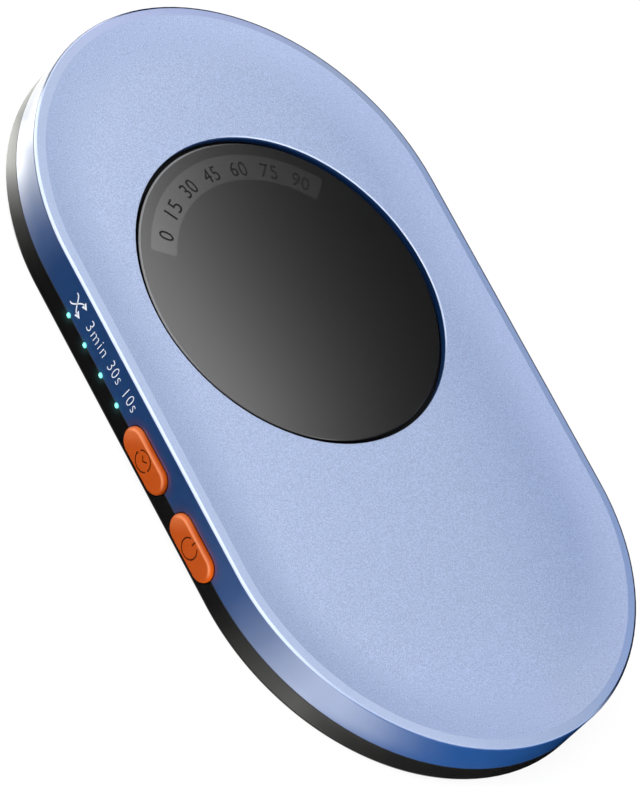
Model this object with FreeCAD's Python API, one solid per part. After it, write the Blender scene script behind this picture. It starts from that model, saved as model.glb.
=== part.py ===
import FreeCAD, Part

import math
import os

# Slim desk mouse mover: a stadium-shaped case with a motor-driven turntable set into its top.
# Units are millimetres. +Z is up, +Y points to the turntable end, and the buttons are on the -X side.
# The origin is the centre of the case outline, on the plane that the feet stand on.

# ------------------------------------------------------------------ case
CASE_WIDTH = 84.0
CASE_LENGTH = 146.0
FOOT_STAND = 0.6  # the feet hold the case this far off the desk
LOWER_SHELL_HEIGHT = 3.7  # case bottom to parting line
UPPER_SHELL_HEIGHT = 6.6  # parting line to the outer top edge
SIDE_WALL = 1.8
FLOOR_WALL = 1.4
TOP_WALL = 1.5
RIM_BAND_WIDTH = 1.85  # sloping band between the outer top edge and the crest
RIM_BAND_RISE = 0.2
DISH_DEPTH = 0.64  # crest down to the flat of the dish
DISH_SLOPE_WIDTH = 9.5
TOP_EDGE_ROUND = 0.4
BOTTOM_EDGE_ROUND = 0.3
SEAM_BREAK = 0.05  # bevel on both shells at the parting line
LIP_WIDTH = 0.7  # tongue of the lower shell inside the upper shell
LIP_HEIGHT = 1.2
LIP_CLEARANCE = 0.1

# ------------------------------------------------------------------ turntable
TURNTABLE_Y = 16.3
TURNTABLE_HOLE_RADIUS = 30.2
HOLE_EDGE_BREAK = 0.1
DISC_GAP = 0.8  # between the disc's rim and the hole
DISC_SINK = 0.54  # disc's top below the dish
DISC_THICKNESS = 1.0
DISC_EDGE_ROUND = 0.2
CARRIER_THICKNESS = 1.0
CARRIER_INSET = 0.4  # the carrier's rim lies this far inside the disc's
FLANGE_THICKNESS = 0.5
FLANGE_OVERLAP = 1.2  # the flange reaches this far under the case's top
HUB_RADIUS = 6.5
HUB_SEAT_RADIUS = 5.0  # journal that the gear is pressed on
CARRIER_RIB_RADIUS = 12.0
CARRIER_RIB_WIDTH = 1.0
CARRIER_RIB_DEPTH = 0.8
SPINDLE_RADIUS = 2.0
SPINDLE_EMBED = 1.0  # depth pressed into the floor
SPINDLE_BOSS_RADIUS = 4.0
SPINDLE_BOSS_HEIGHT = 0.6
BUSH_WALL = 1.2
THRUST_WASHER_THICKNESS = 0.3
SPINDLE_WASHER_RADIUS = 3.6
SPINDLE_WASHER_THICKNESS = 0.3
SPINDLE_SCREW_RADIUS = 0.8
SPINDLE_SCREW_LENGTH = 3.0
SPINDLE_HEAD_RADIUS = 1.7
SPINDLE_HEAD_HEIGHT = 0.7
SPINDLE_HEAD_CLEARANCE = 0.35
SPINDLE_RECESS_GAP = 0.6  # around the washer
SCALE_RIM_MARGIN = 2.4  # between the scale and the disc's rim
SCALE_BAND_WIDTH = 5.0
SCALE_START_ANGLE = 44.6
SCALE_SWEEP_ANGLE = 107.8
SCALE_THICKNESS = 0.1
SCALE_CORNER_ROUND = 0.6

# ------------------------------------------------------------------ gears
MODULE = 0.5
PRESSURE_ANGLE = math.radians(20.0)
TURNTABLE_TEETH = 96
IDLER_PINION_TEETH = 12
IDLER_WHEEL_TEETH = 48
MOTOR_PINION_TEETH = 12
ADDENDUM = 0.75  # in modules
DEDENDUM = 1.0
BACKLASH = 0.08
TURNTABLE_GEAR_WIDTH = 1.3
GEAR_HOLE_COUNT = 6
GEAR_HOLE_RADIUS = 4.5
IDLER_WHEEL_WIDTH = 1.2
PINION_OVERHANG = 0.3  # pinions reach past the wheel they drive
IDLER_NECK_RADIUS = 2.2
IDLER_PIN_RADIUS = 0.8
IDLER_PIN_EMBED = 0.9
IDLER_BOSS_RADIUS = 2.4
IDLER_BOSS_HEIGHT = 0.7
IDLER_CLIP_RADIUS = 2.0
IDLER_CLIP_THICKNESS = 0.3
IDLER_PIN_END = 0.1  # pin's end above the clip
CARRIER_CLEARANCE = 0.3  # under the turning carrier

# ------------------------------------------------------------------ motor
MOTOR_RADIUS = 10.0
MOTOR_CAN_WALL = 0.5
MOTOR_SEAT_GAP = 0.1  # the can hangs clear of the floor
MOTOR_PLATE_THICKNESS = 0.5
MOTOR_PLATE_GAP = 0.25  # plate to the idler's wheel
MOTOR_SHAFT_RADIUS = 0.75
MOTOR_BUSH_WALL = 1.1
MOTOR_BUSH_HEIGHT = 0.8
MOTOR_MAGNET_RADIUS = 5.6
MOTOR_COIL_INNER = 6.2
MOTOR_COIL_GAP = 0.2
MOTOR_EAR_RADIUS = 2.0
MOTOR_EAR_GAP = 0.6  # ear's post to the can
MOTOR_TERMINAL_WIDTH = 6.0
MOTOR_TERMINAL_DEPTH = 2.0

# ------------------------------------------------------------------ buttons and lamps
BUTTON_LENGTH = 12.5
BUTTON_HEIGHT = 5.35
BUTTON_PROUD = 0.9
BUTTON_EDGE_ROUND = 0.6
BUTTON_SLOT_GAP = 0.15
BUTTON_TRAVEL = 0.4
BUTTON_EAR_LENGTH = 1.0  # ears inside the wall stop the button from falling out
BUTTON_EAR_THICKNESS = 0.8
BUTTON_EAR_GAP = 0.25  # ears over the case's floor
BUTTON_CENTRE_RISE = 0.1  # above the parting line
TIMER_BUTTON_Y = -5.7
POWER_BUTTON_Y = -22.45
ICON_RADIUS = 1.85
ICON_LINE = 0.28
ICON_DEPTH = 0.15
ICON_HEAD = 0.55
TIMER_ARC_START = 24.0
TIMER_ARC_SWEEP = 148.0
TIMER_HAND_LENGTH = 1.0
TIMER_HAND_ANGLES = (42.0, 137.0)
POWER_BREAK_ANGLE = 67.0
POWER_BAR_START = 0.9
SWITCH_WIDTH = 4.7
SWITCH_DEPTH = 3.0
SWITCH_ABOVE_STEM = 1.25
STEM_WIDTH = 2.2
STEM_HEIGHT = 1.2
STEM_ENGAGED = 1.0  # length inside the switch
STEM_CLEARANCE = 0.1
LAMP_COUNT = 4
LAMP_FIRST_Y = 22.7
LAMP_PITCH = 5.87
LAMP_DROP = 0.15  # below the parting line
LAMP_RADIUS = 0.5
LAMP_HOLE_GAP = 0.05
LIGHT_BAR_END = 1.2
LIGHT_BAR_HEIGHT = 1.4
LED_WIDTH = 1.6
LED_DEPTH = 1.0
LED_HEIGHT_OVER_AXIS = 0.5

# ------------------------------------------------------------------ boards
BOARD_THICKNESS = 1.0
STANDOFF_HEIGHT = 0.5
STANDOFF_RADIUS = 2.0
BOARD_TO_GEAR = 1.6
BOARD_TO_MOTOR = 1.0
BOARD_TO_CARRIAGE = 0.4  # the pressed button stops this far from the board
BOARD_FAR_MARGIN = 4.8  # past the first lamp
BOARD_NEAR_MARGIN = 14.4  # past the power button
BOARD_WIDE_MARGIN = 5.1  # the wide part starts this far inside the power button
BOARD_SCREW_RADIUS = 0.7
BOARD_SCREW_HEAD_RADIUS = 1.4
BOARD_SCREW_HEAD_HEIGHT = 0.7
BOARD_SCREW_BITE = 0.8  # thread into the floor
BOARD_HOLE_GAP = 0.2
BOARD_SCREW_INSET = 3.0
CONTROLLER_SIZE = 7.0
CONTROLLER_HEIGHT = 1.0
DRIVER_WIDTH = 4.0
DRIVER_LENGTH = 6.0
DRIVER_HEIGHT = 1.5
BOARD_PART_MARGIN = 1.0
CAPACITOR_SIZE = 1.6
CAPACITOR_COUNT = 4
CAPACITOR_PITCH = 4.0
SOCKET_WIDTH = 5.0
SOCKET_DEPTH = 5.0
SOCKET_HEIGHT = 2.6
SOCKET_WALL = 0.5
SOCKET_PLUG_DEPTH = 3.0
USB_BOARD_HALF_WIDTH = 9.5
USB_BOARD_DEPTH = 12.0
USB_BOARD_WALL_GAP = 1.7  # to the wall on the centre line
USB_SHELL_WIDTH = 8.94
USB_SHELL_HEIGHT = 3.16
USB_SHELL_WALL = 0.25
USB_SHELL_LENGTH = 7.3
USB_MOUTH_INSET = 0.65  # mouth behind the case's end
USB_HOLE_GAP = 0.3
USB_TONGUE_WIDTH = 6.7
USB_TONGUE_THICKNESS = 0.7
USB_TONGUE_INSET = 0.8  # behind the mouth
USB_BLOCK_LENGTH = 2.0

# ------------------------------------------------------------------ leads, feet and screws
POWER_LEAD_DIAMETER = 1.4
MOTOR_LEAD_DIAMETER = 1.2
POWER_LEAD_CLEARANCE = 3.75  # outside the turntable's disc, seen from above
POWER_LEAD_ANGLES = (92.0, 112.0, 133.0)  # round the turntable, from +X
POWER_LEAD_RUN = 7.0  # straight run into the main board
MOTOR_LEAD_RUN = 6.8  # straight run off the motor's terminals
MOTOR_LEAD_SAG = 4.5  # loose loop past the ends of both runs
BEND_SHARE = 0.45  # share of the shorter run that a bend uses
FOOT_RADIUS = 6.5
FOOT_X = 20.0
FOOT_Y = 54.0
FOOT_RECESS = 0.3
FOOT_GAP = 0.1
FOOT_EDGE_ROUND = 0.25
CASE_SCREW_X = 33.5
CASE_SCREW_Y = 42.5
CASE_SCREW_RADIUS = 1.0
CASE_SCREW_LENGTH = 5.0
CASE_SCREW_HEAD_RADIUS = 1.9
CASE_SCREW_HEAD_HEIGHT = 1.1
CASE_SCREW_SINK = 0.4  # head below the case bottom
CASE_BOSS_RADIUS = 3.2
SCREW_DRIVE_RADIUS = 0.55
RUNNING_FIT = 0.03  # radial, shafts in their bearings
PRESS_GAP = 0.01  # radial, threads and pins in their holes
AXIAL_PLAY = 0.05

# ------------------------------------------------------------------ worked-out levels
HALF_WIDTH = CASE_WIDTH / 2
END_Y = CASE_LENGTH / 2 - HALF_WIDTH  # centre of each round end
CASE_BOTTOM = FOOT_STAND
FLOOR_Z = CASE_BOTTOM + FLOOR_WALL
PARTING_Z = CASE_BOTTOM + LOWER_SHELL_HEIGHT
TOP_EDGE_Z = PARTING_Z + UPPER_SHELL_HEIGHT
CREST_Z = TOP_EDGE_Z + RIM_BAND_RISE
DISH_Z = CREST_Z - DISH_DEPTH
CEILING_Z = DISH_Z - TOP_WALL
WALL_X = HALF_WIDTH - SIDE_WALL  # inner face of the long walls

DISC_TOP = DISH_Z - DISC_SINK
DISC_BOTTOM = DISC_TOP - DISC_THICKNESS
CARRIER_BOTTOM = DISC_BOTTOM - CARRIER_THICKNESS
SPINDLE_BOSS_TOP = FLOOR_Z + SPINDLE_BOSS_HEIGHT
HUB_BOTTOM = SPINDLE_BOSS_TOP + THRUST_WASHER_THICKNESS + AXIAL_PLAY
GEAR_TOP = HUB_BOTTOM + TURNTABLE_GEAR_WIDTH
SPINDLE_TOP = DISC_BOTTOM - SPINDLE_HEAD_CLEARANCE - SPINDLE_HEAD_HEIGHT - SPINDLE_WASHER_THICKNESS
HUB_TOP = SPINDLE_TOP - AXIAL_PLAY
BUSH_BORE = SPINDLE_RADIUS + RUNNING_FIT
BUSH_RADIUS = BUSH_BORE + BUSH_WALL

IDLER_PIN_TOP = CARRIER_BOTTOM - CARRIER_CLEARANCE
IDLER_CLIP_BOTTOM = IDLER_PIN_TOP - IDLER_PIN_END - IDLER_CLIP_THICKNESS
WHEEL_TOP = IDLER_CLIP_BOTTOM - AXIAL_PLAY
WHEEL_BOTTOM = WHEEL_TOP - IDLER_WHEEL_WIDTH
IDLER_BOSS_TOP = FLOOR_Z + IDLER_BOSS_HEIGHT
IDLER_PINION_TOP = GEAR_TOP + PINION_OVERHANG

MOTOR_PLATE_TOP = WHEEL_BOTTOM - MOTOR_PLATE_GAP
MOTOR_PLATE_BOTTOM = MOTOR_PLATE_TOP - MOTOR_PLATE_THICKNESS
MOTOR_BOTTOM = FLOOR_Z + MOTOR_SEAT_GAP
MOTOR_FLOOR = MOTOR_BOTTOM + MOTOR_CAN_WALL
MOTOR_PINION_TOP = WHEEL_TOP + PINION_OVERHANG

BOARD_BOTTOM = FLOOR_Z + STANDOFF_HEIGHT
BOARD_TOP = BOARD_BOTTOM + BOARD_THICKNESS
BUTTON_Z = PARTING_Z + BUTTON_CENTRE_RISE
LAMP_Z = PARTING_Z - LAMP_DROP
LEAD_Z = BOARD_TOP + SOCKET_HEIGHT / 2
USB_Z = BOARD_TOP + USB_SHELL_HEIGHT / 2

# ------------------------------------------------------------------ worked-out places
TURNTABLE = (0.0, TURNTABLE_Y)
IDLER = (0.0, TURNTABLE_Y - MODULE * (TURNTABLE_TEETH + IDLER_PINION_TEETH) / 2)
MOTOR = (0.0, IDLER[1] - MODULE * (IDLER_WHEEL_TEETH + MOTOR_PINION_TEETH) / 2)
DISC_RADIUS = TURNTABLE_HOLE_RADIUS - DISC_GAP
SCALE_OUTER_RADIUS = DISC_RADIUS - SCALE_RIM_MARGIN
SCALE_INNER_RADIUS = SCALE_OUTER_RADIUS - SCALE_BAND_WIDTH
MOTOR_EAR_X = MOTOR_RADIUS + MOTOR_EAR_GAP + MOTOR_EAR_RADIUS
MOTOR_EARS = [(side * MOTOR_EAR_X, MOTOR[1]) for side in (-1, 1)]
MOTOR_TERMINAL_Y = MOTOR[1] - MOTOR_RADIUS - MOTOR_TERMINAL_DEPTH

EAR_BACK_X = -WALL_X + LIP_CLEARANCE + BUTTON_EAR_THICKNESS  # inner face of the button's ears
BOARD_LEFT = EAR_BACK_X + BUTTON_TRAVEL + BOARD_TO_CARRIAGE
BOARD_STRIP_RIGHT = -(MODULE * (TURNTABLE_TEETH / 2 + ADDENDUM) + BOARD_TO_GEAR)
BOARD_WIDE_RIGHT = -(MOTOR_EAR_X + MOTOR_EAR_RADIUS + BOARD_TO_MOTOR)
BOARD_FAR = LAMP_FIRST_Y + BOARD_FAR_MARGIN
BOARD_NEAR = POWER_BUTTON_Y - BOARD_NEAR_MARGIN
BOARD_STEP_Y = POWER_BUTTON_Y + BOARD_WIDE_MARGIN
POWER_LEAD_X = BOARD_LEFT + SOCKET_WIDTH
MOTOR_LEAD_X = BOARD_WIDE_RIGHT - SOCKET_WIDTH
BOARD_SCREWS = [
    (POWER_LEAD_X, BOARD_FAR - SOCKET_DEPTH - BOARD_SCREW_INSET),
    (POWER_LEAD_X, BOARD_STEP_Y + BOARD_SCREW_INSET),
    (BOARD_LEFT + BOARD_SCREW_INSET + BOARD_SCREW_HEAD_RADIUS, BOARD_NEAR + BOARD_SCREW_INSET),
]
LAMP_YS = [LAMP_FIRST_Y - LAMP_PITCH * index for index in range(LAMP_COUNT)]

USB_BOARD_FAR = CASE_LENGTH / 2 - SIDE_WALL - USB_BOARD_WALL_GAP
USB_BOARD_NEAR = USB_BOARD_FAR - USB_BOARD_DEPTH
USB_SCREWS = [
    (side * (USB_BOARD_HALF_WIDTH - BOARD_SCREW_INSET), USB_BOARD_NEAR + BOARD_SCREW_INSET)
    for side in (-1, 1)
]
USB_MOUTH_Y = CASE_LENGTH / 2 - USB_MOUTH_INSET
USB_LEAD_X = 0.0

FEET = [(sx * FOOT_X, sy * FOOT_Y) for sx in (-1, 1) for sy in (-1, 1)]
CASE_SCREWS = [(sx * CASE_SCREW_X, sy * CASE_SCREW_Y) for sx in (-1, 1) for sy in (-1, 1)]
CASE_HEAD_TOP = CASE_BOTTOM + CASE_SCREW_SINK + CASE_SCREW_HEAD_HEIGHT
BUTTONS = {"timer": TIMER_BUTTON_Y, "power": POWER_BUTTON_Y}


# ------------------------------------------------------------------ basic shapes
def vec(x, y, z):
    return FreeCAD.Vector(x, y, z)


def polar(centre, radius, angle, z):
    """Point at an angle in radians around a centre."""
    return vec(centre[0] + radius * math.cos(angle), centre[1] + radius * math.sin(angle), z)


def block(x_span, y_span, z_span):
    """Box from (low, high) pairs."""
    low = vec(x_span[0], y_span[0], z_span[0])
    return Part.makeBox(x_span[1] - x_span[0], y_span[1] - y_span[0], z_span[1] - z_span[0], low)


def post(centre, radius, z_span):
    """Upright cylinder."""
    return Part.makeCylinder(radius, z_span[1] - z_span[0], vec(centre[0], centre[1], z_span[0]))


def ring(centre, outer, inner, z_span):
    """Upright tube."""
    return post(centre, outer, z_span).cut(post(centre, inner, z_span))


def fused(shapes):
    """One clean solid from touching solids."""
    first, *rest = shapes
    return first.fuse(rest).removeSplitter()


def stadium_wire(length, width, place):
    """Closed stadium outline in a local XY plane, long axis along local X, moved by a placement."""
    radius = width / 2
    reach = length / 2 - radius
    edges = [
        Part.LineSegment(vec(-reach, -radius, 0), vec(reach, -radius, 0)).toShape(),
        Part.Arc(vec(reach, -radius, 0), vec(reach + radius, 0, 0), vec(reach, radius, 0)).toShape(),
        Part.LineSegment(vec(reach, radius, 0), vec(-reach, radius, 0)).toShape(),
        Part.Arc(vec(-reach, radius, 0), vec(-reach - radius, 0, 0), vec(-reach, -radius, 0)).toShape(),
    ]
    wire = Part.Wire(edges)
    wire.Placement = place
    return wire


def upright_stadium(half_width, z_span):
    """Stadium prism around the case's own end centres."""
    turn = FreeCAD.Rotation(vec(0, 0, 1), 90)
    place = FreeCAD.Placement(vec(0, 0, z_span[0]), turn)
    wire = stadium_wire(2 * (END_Y + half_width), 2 * half_width, place)
    return Part.Face(wire).extrude(vec(0, 0, z_span[1] - z_span[0]))


def side_stadium(centre_y, centre_z, length, height, x_span):
    """Stadium prism lying along the case's side, extruded along X."""
    turn = FreeCAD.Rotation(vec(0, 1, 0), vec(0, 0, 1), vec(1, 0, 0), "ZXY")
    place = FreeCAD.Placement(vec(x_span[0], centre_y, centre_z), turn)
    wire = stadium_wire(length, height, place)
    return Part.Face(wire).extrude(vec(x_span[1] - x_span[0], 0, 0))


def end_stadium(centre_z, length, height, y_span):
    """Stadium prism across the case's far end, extruded along Y."""
    turn = FreeCAD.Rotation(vec(1, 0, 0), 90)
    place = FreeCAD.Placement(vec(0, y_span[0], centre_z), turn)
    wire = stadium_wire(length, height, place)
    return Part.Face(wire).extrude(vec(0, y_span[1] - y_span[0], 0))


def corner_arc(before, corner, after, radius):
    """Start, middle and end of the arc that rounds a corner."""
    back = (before - corner).normalize()
    ahead = (after - corner).normalize()
    half = back.getAngle(ahead) / 2
    reach = radius / math.tan(half)
    inward = (back + ahead).normalize()
    centre = corner + inward * (radius / math.sin(half))
    return corner + back * reach, centre - inward * radius, corner + ahead * reach


def line(start, end):
    return Part.LineSegment(start, end).toShape()


def arc(start, middle, end):
    return Part.Arc(start, middle, end).toShape()


def screw(centre, head_z, head_up, sizes):
    """Pan-head screw: sizes are thread radius, thread length, head radius and head height."""
    thread_radius, thread_length, head_radius, head_height = sizes
    way = 1 if head_up else -1
    head = sorted((head_z, head_z + way * head_height))
    thread = sorted((head_z, head_z - way * thread_length))
    body = fused([post(centre, head_radius, head), post(centre, thread_radius, thread)])
    drive_depth = head_height / 2
    face = head_z + way * head_height
    drive = post(centre, SCREW_DRIVE_RADIUS, sorted((face, face - way * drive_depth)))
    return body.cut(drive)


# ------------------------------------------------------------------ case shells
def shell_solid(outline):
    """Case-shaped solid whose half section in the XZ plane is carried round both ends."""
    face = Part.Face(Part.Wire(outline))
    up = vec(0, 0, 1)
    far_centre = vec(0, END_Y, 0)
    near_centre = vec(0, -END_Y, 0)
    far = face.translated(far_centre).revolve(far_centre, up, 180)
    near = face.translated(near_centre).revolve(near_centre, up, -180)
    right = face.translated(near_centre).extrude(far_centre - near_centre)
    left = right.mirror(vec(0, 0, 0), vec(1, 0, 0))
    return fused([far, near, right, left])


def upper_outline():
    """Half section of the upper shell's outside, from the parting line round to the dish."""
    foot = vec(0, 0, PARTING_Z)
    seam_in = vec(HALF_WIDTH - SEAM_BREAK, 0, PARTING_Z)
    seam_up = vec(HALF_WIDTH, 0, PARTING_Z + SEAM_BREAK)
    edge = vec(HALF_WIDTH, 0, TOP_EDGE_Z)
    crest = vec(HALF_WIDTH - RIM_BAND_WIDTH, 0, CREST_Z)
    dish = vec(crest.x - DISH_SLOPE_WIDTH, 0, DISH_Z)
    top = vec(0, 0, DISH_Z)
    low, middle, high = corner_arc(seam_up, edge, crest, TOP_EDGE_ROUND)
    slope_radius = (DISH_SLOPE_WIDTH**2 + DISH_DEPTH**2) / (2 * DISH_DEPTH)
    half_turn = math.asin(DISH_SLOPE_WIDTH / slope_radius) / 2
    slope_x = dish.x + slope_radius * math.sin(half_turn)
    slope_middle = vec(slope_x, 0, DISH_Z + slope_radius * (1 - math.cos(half_turn)))
    return [
        line(foot, seam_in),
        line(seam_in, seam_up),
        line(seam_up, low),
        arc(low, middle, high),
        line(high, crest),
        arc(crest, slope_middle, dish),
        line(dish, top),
        line(top, foot),
    ]


def lower_outline():
    """Half section of the lower shell's outside."""
    centre_low = vec(0, 0, CASE_BOTTOM)
    corner = vec(HALF_WIDTH, 0, CASE_BOTTOM)
    seam_down = vec(HALF_WIDTH, 0, PARTING_Z - SEAM_BREAK)
    seam_in = vec(HALF_WIDTH - SEAM_BREAK, 0, PARTING_Z)
    centre_high = vec(0, 0, PARTING_Z)
    start, middle, end = corner_arc(centre_low, corner, seam_down, BOTTOM_EDGE_ROUND)
    return [
        line(centre_low, start),
        arc(start, middle, end),
        line(end, seam_down),
        line(seam_down, seam_in),
        line(seam_in, centre_high),
        line(centre_high, centre_low),
    ]


def side_openings():
    """Cutters through the side wall for the buttons and lamps, and through the end wall for the inlet."""
    through_side = (-HALF_WIDTH - BUTTON_PROUD, -WALL_X + LIP_CLEARANCE)
    slot_length = BUTTON_LENGTH + 2 * BUTTON_SLOT_GAP
    slot_height = BUTTON_HEIGHT + 2 * BUTTON_SLOT_GAP
    cutters = [side_stadium(y, BUTTON_Z, slot_length, slot_height, through_side) for y in BUTTONS.values()]
    length = through_side[1] - through_side[0]
    for y in LAMP_YS:
        start = vec(through_side[0], y, LAMP_Z)
        cutters.append(Part.makeCylinder(LAMP_RADIUS + LAMP_HOLE_GAP, length, start, vec(1, 0, 0)))
    inlet_width = USB_SHELL_WIDTH + 2 * USB_HOLE_GAP
    inlet_height = USB_SHELL_HEIGHT + 2 * USB_HOLE_GAP
    inlet_y = (USB_MOUTH_Y - USB_SHELL_LENGTH / 2, CASE_LENGTH / 2 + USB_MOUTH_INSET)
    cutters.append(end_stadium(USB_Z, inlet_width, inlet_height, inlet_y))
    return cutters


def top_cover():
    """Upper shell: dished top with the turntable hole, hollow inside, rebated for the lower shell's lip."""
    body = shell_solid(upper_outline())
    rebate_top = PARTING_Z + LIP_HEIGHT + LIP_CLEARANCE
    lip_outer = WALL_X + LIP_WIDTH + LIP_CLEARANCE
    body = body.cut(upright_stadium(WALL_X, (PARTING_Z, CEILING_Z)))
    body = body.cut(upright_stadium(lip_outer, (PARTING_Z, rebate_top)))
    body = body.cut(post(TURNTABLE, TURNTABLE_HOLE_RADIUS, (CEILING_Z - TOP_WALL, CREST_Z)))
    cone_low = vec(TURNTABLE[0], TURNTABLE[1], DISH_Z - HOLE_EDGE_BREAK)
    cone_top = TURNTABLE_HOLE_RADIUS + 2 * HOLE_EDGE_BREAK
    body = body.cut(Part.makeCone(TURNTABLE_HOLE_RADIUS, cone_top, 2 * HOLE_EDGE_BREAK, cone_low))
    bosses = [post(centre, CASE_BOSS_RADIUS, (PARTING_Z, CEILING_Z)) for centre in CASE_SCREWS]
    body = fused([body, *bosses])
    thread_top = CASE_HEAD_TOP + CASE_SCREW_LENGTH
    threads = [post(centre, CASE_SCREW_RADIUS + PRESS_GAP, (PARTING_Z, thread_top)) for centre in CASE_SCREWS]
    return body.cut([*threads, *side_openings()])


def bottom_cover():
    """Lower shell: tray with a lip, bosses, posts and recesses for the feet and screws."""
    body = shell_solid(lower_outline())
    body = body.cut(upright_stadium(WALL_X, (FLOOR_Z, PARTING_Z)))
    lip_span = (PARTING_Z, PARTING_Z + LIP_HEIGHT)
    lip = upright_stadium(WALL_X + LIP_WIDTH, lip_span).cut(upright_stadium(WALL_X, lip_span))
    posts = [post(centre, CASE_BOSS_RADIUS, (FLOOR_Z, PARTING_Z)) for centre in CASE_SCREWS]
    posts += [post(centre, STANDOFF_RADIUS, (FLOOR_Z, BOARD_BOTTOM)) for centre in BOARD_SCREWS + USB_SCREWS]
    posts += [post(centre, MOTOR_EAR_RADIUS, (FLOOR_Z, MOTOR_PLATE_BOTTOM)) for centre in MOTOR_EARS]
    posts.append(post(TURNTABLE, SPINDLE_BOSS_RADIUS, (FLOOR_Z, SPINDLE_BOSS_TOP)))
    posts.append(post(IDLER, IDLER_BOSS_RADIUS, (FLOOR_Z, IDLER_BOSS_TOP)))
    body = fused([body, lip, *posts])
    return body.cut([*bottom_holes(), *side_openings()])


def bottom_holes():
    """Cutters from below and above the floor."""
    cutters = [post(c, FOOT_RADIUS + FOOT_GAP, (CASE_BOTTOM, CASE_BOTTOM + FOOT_RECESS)) for c in FEET]
    shaft = CASE_SCREW_RADIUS + BOARD_HOLE_GAP
    head = CASE_SCREW_HEAD_RADIUS + BOARD_HOLE_GAP
    cutters += [post(centre, shaft, (CASE_BOTTOM, PARTING_Z)) for centre in CASE_SCREWS]
    cutters += [post(centre, head, (CASE_BOTTOM, CASE_HEAD_TOP)) for centre in CASE_SCREWS]
    board_bite = (FLOOR_Z - BOARD_SCREW_BITE, BOARD_BOTTOM)
    board_thread = BOARD_SCREW_RADIUS + PRESS_GAP
    cutters += [post(centre, board_thread, board_bite) for centre in BOARD_SCREWS + USB_SCREWS]
    cutters += [post(centre, board_thread, (FLOOR_Z, MOTOR_PLATE_BOTTOM)) for centre in MOTOR_EARS]
    spindle_span = (FLOOR_Z - SPINDLE_EMBED, SPINDLE_BOSS_TOP)
    cutters.append(post(TURNTABLE, SPINDLE_RADIUS + PRESS_GAP, spindle_span))
    cutters.append(post(IDLER, IDLER_PIN_RADIUS + PRESS_GAP, (FLOOR_Z - IDLER_PIN_EMBED, IDLER_BOSS_TOP)))
    return cutters


def rubber_feet():
    """Four round feet, each with a softened lower edge."""
    feet = []
    for centre in FEET:
        foot = post(centre, FOOT_RADIUS, (0, CASE_BOTTOM + FOOT_RECESS))
        rim = [edge for edge in foot.Edges if edge.BoundBox.ZMax < FOOT_STAND / 2]
        feet.append(foot.makeFillet(FOOT_EDGE_ROUND, rim))
    return Part.Compound(feet)


def case_screws():
    """Screws up through the lower shell into the upper shell's bosses."""
    sizes = (CASE_SCREW_RADIUS, CASE_SCREW_LENGTH, CASE_SCREW_HEAD_RADIUS, CASE_SCREW_HEAD_HEIGHT)
    return Part.Compound([screw(centre, CASE_HEAD_TOP, False, sizes) for centre in CASE_SCREWS])


# ------------------------------------------------------------------ turntable
def scale_sector(z_span):
    """Arc band with rounded corners on the disc."""
    sweep = SCALE_SWEEP_ANGLE
    start = vec(TURNTABLE[0], TURNTABLE[1], z_span[0])
    height = z_span[1] - z_span[0]
    up = vec(0, 0, 1)
    outer = Part.makeCylinder(SCALE_OUTER_RADIUS, height, start, up, sweep)
    inner = Part.makeCylinder(SCALE_INNER_RADIUS, height, start, up, sweep)
    band = outer.cut(inner)
    band.rotate(start, up, SCALE_START_ANGLE)
    corners = [edge for edge in band.Edges if abs(edge.tangentAt(edge.FirstParameter).z) > 0.5]
    return band.makeFillet(SCALE_CORNER_ROUND, corners)


def turntable_disc():
    """Visible top plate with a rounded edge and a shallow seat for the scale."""
    disc = post(TURNTABLE, DISC_RADIUS, (DISC_BOTTOM, DISC_TOP))
    rim = [edge for edge in disc.Edges if edge.BoundBox.ZMin > DISC_TOP - DISC_EDGE_ROUND]
    disc = disc.makeFillet(DISC_EDGE_ROUND, rim)
    return disc.cut(scale_sector((DISC_TOP - SCALE_THICKNESS, DISC_TOP)))


def scale_inlay():
    return scale_sector((DISC_TOP - SCALE_THICKNESS, DISC_TOP))


def turntable_carrier():
    """Plate under the disc with a flange that hooks under the case's top, and a hub for the gear."""
    flange_span = (CARRIER_BOTTOM, CARRIER_BOTTOM + FLANGE_THICKNESS)
    rib_span = (CARRIER_BOTTOM - CARRIER_RIB_DEPTH, CARRIER_BOTTOM)
    body = fused([
        post(TURNTABLE, DISC_RADIUS - CARRIER_INSET, (CARRIER_BOTTOM, DISC_BOTTOM)),
        post(TURNTABLE, TURNTABLE_HOLE_RADIUS + FLANGE_OVERLAP, flange_span),
        ring(TURNTABLE, CARRIER_RIB_RADIUS, CARRIER_RIB_RADIUS - CARRIER_RIB_WIDTH, rib_span),
        post(TURNTABLE, HUB_RADIUS, (GEAR_TOP, CARRIER_BOTTOM)),
        post(TURNTABLE, HUB_SEAT_RADIUS, (HUB_BOTTOM, GEAR_TOP)),
    ])
    bore = post(TURNTABLE, BUSH_RADIUS, (HUB_BOTTOM, HUB_TOP))
    recess = post(TURNTABLE, SPINDLE_WASHER_RADIUS + SPINDLE_RECESS_GAP, (HUB_TOP, DISC_BOTTOM))
    return body.cut([bore, recess])


def turntable_gear():
    """Large spur gear with lightening holes, pressed on the hub."""
    body = gear(TURNTABLE_TEETH, TURNTABLE, -math.pi / 2, (HUB_BOTTOM, GEAR_TOP))
    root = MODULE * (TURNTABLE_TEETH / 2 - DEDENDUM)
    web_radius = (HUB_SEAT_RADIUS + root) / 2
    span = (HUB_BOTTOM, GEAR_TOP)
    holes = [post(TURNTABLE, HUB_SEAT_RADIUS + PRESS_GAP, span)]
    for index in range(GEAR_HOLE_COUNT):
        spot = polar(TURNTABLE, web_radius, 2 * math.pi * index / GEAR_HOLE_COUNT, 0)
        holes.append(post((spot.x, spot.y), GEAR_HOLE_RADIUS, span))
    return body.cut(holes)


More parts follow.
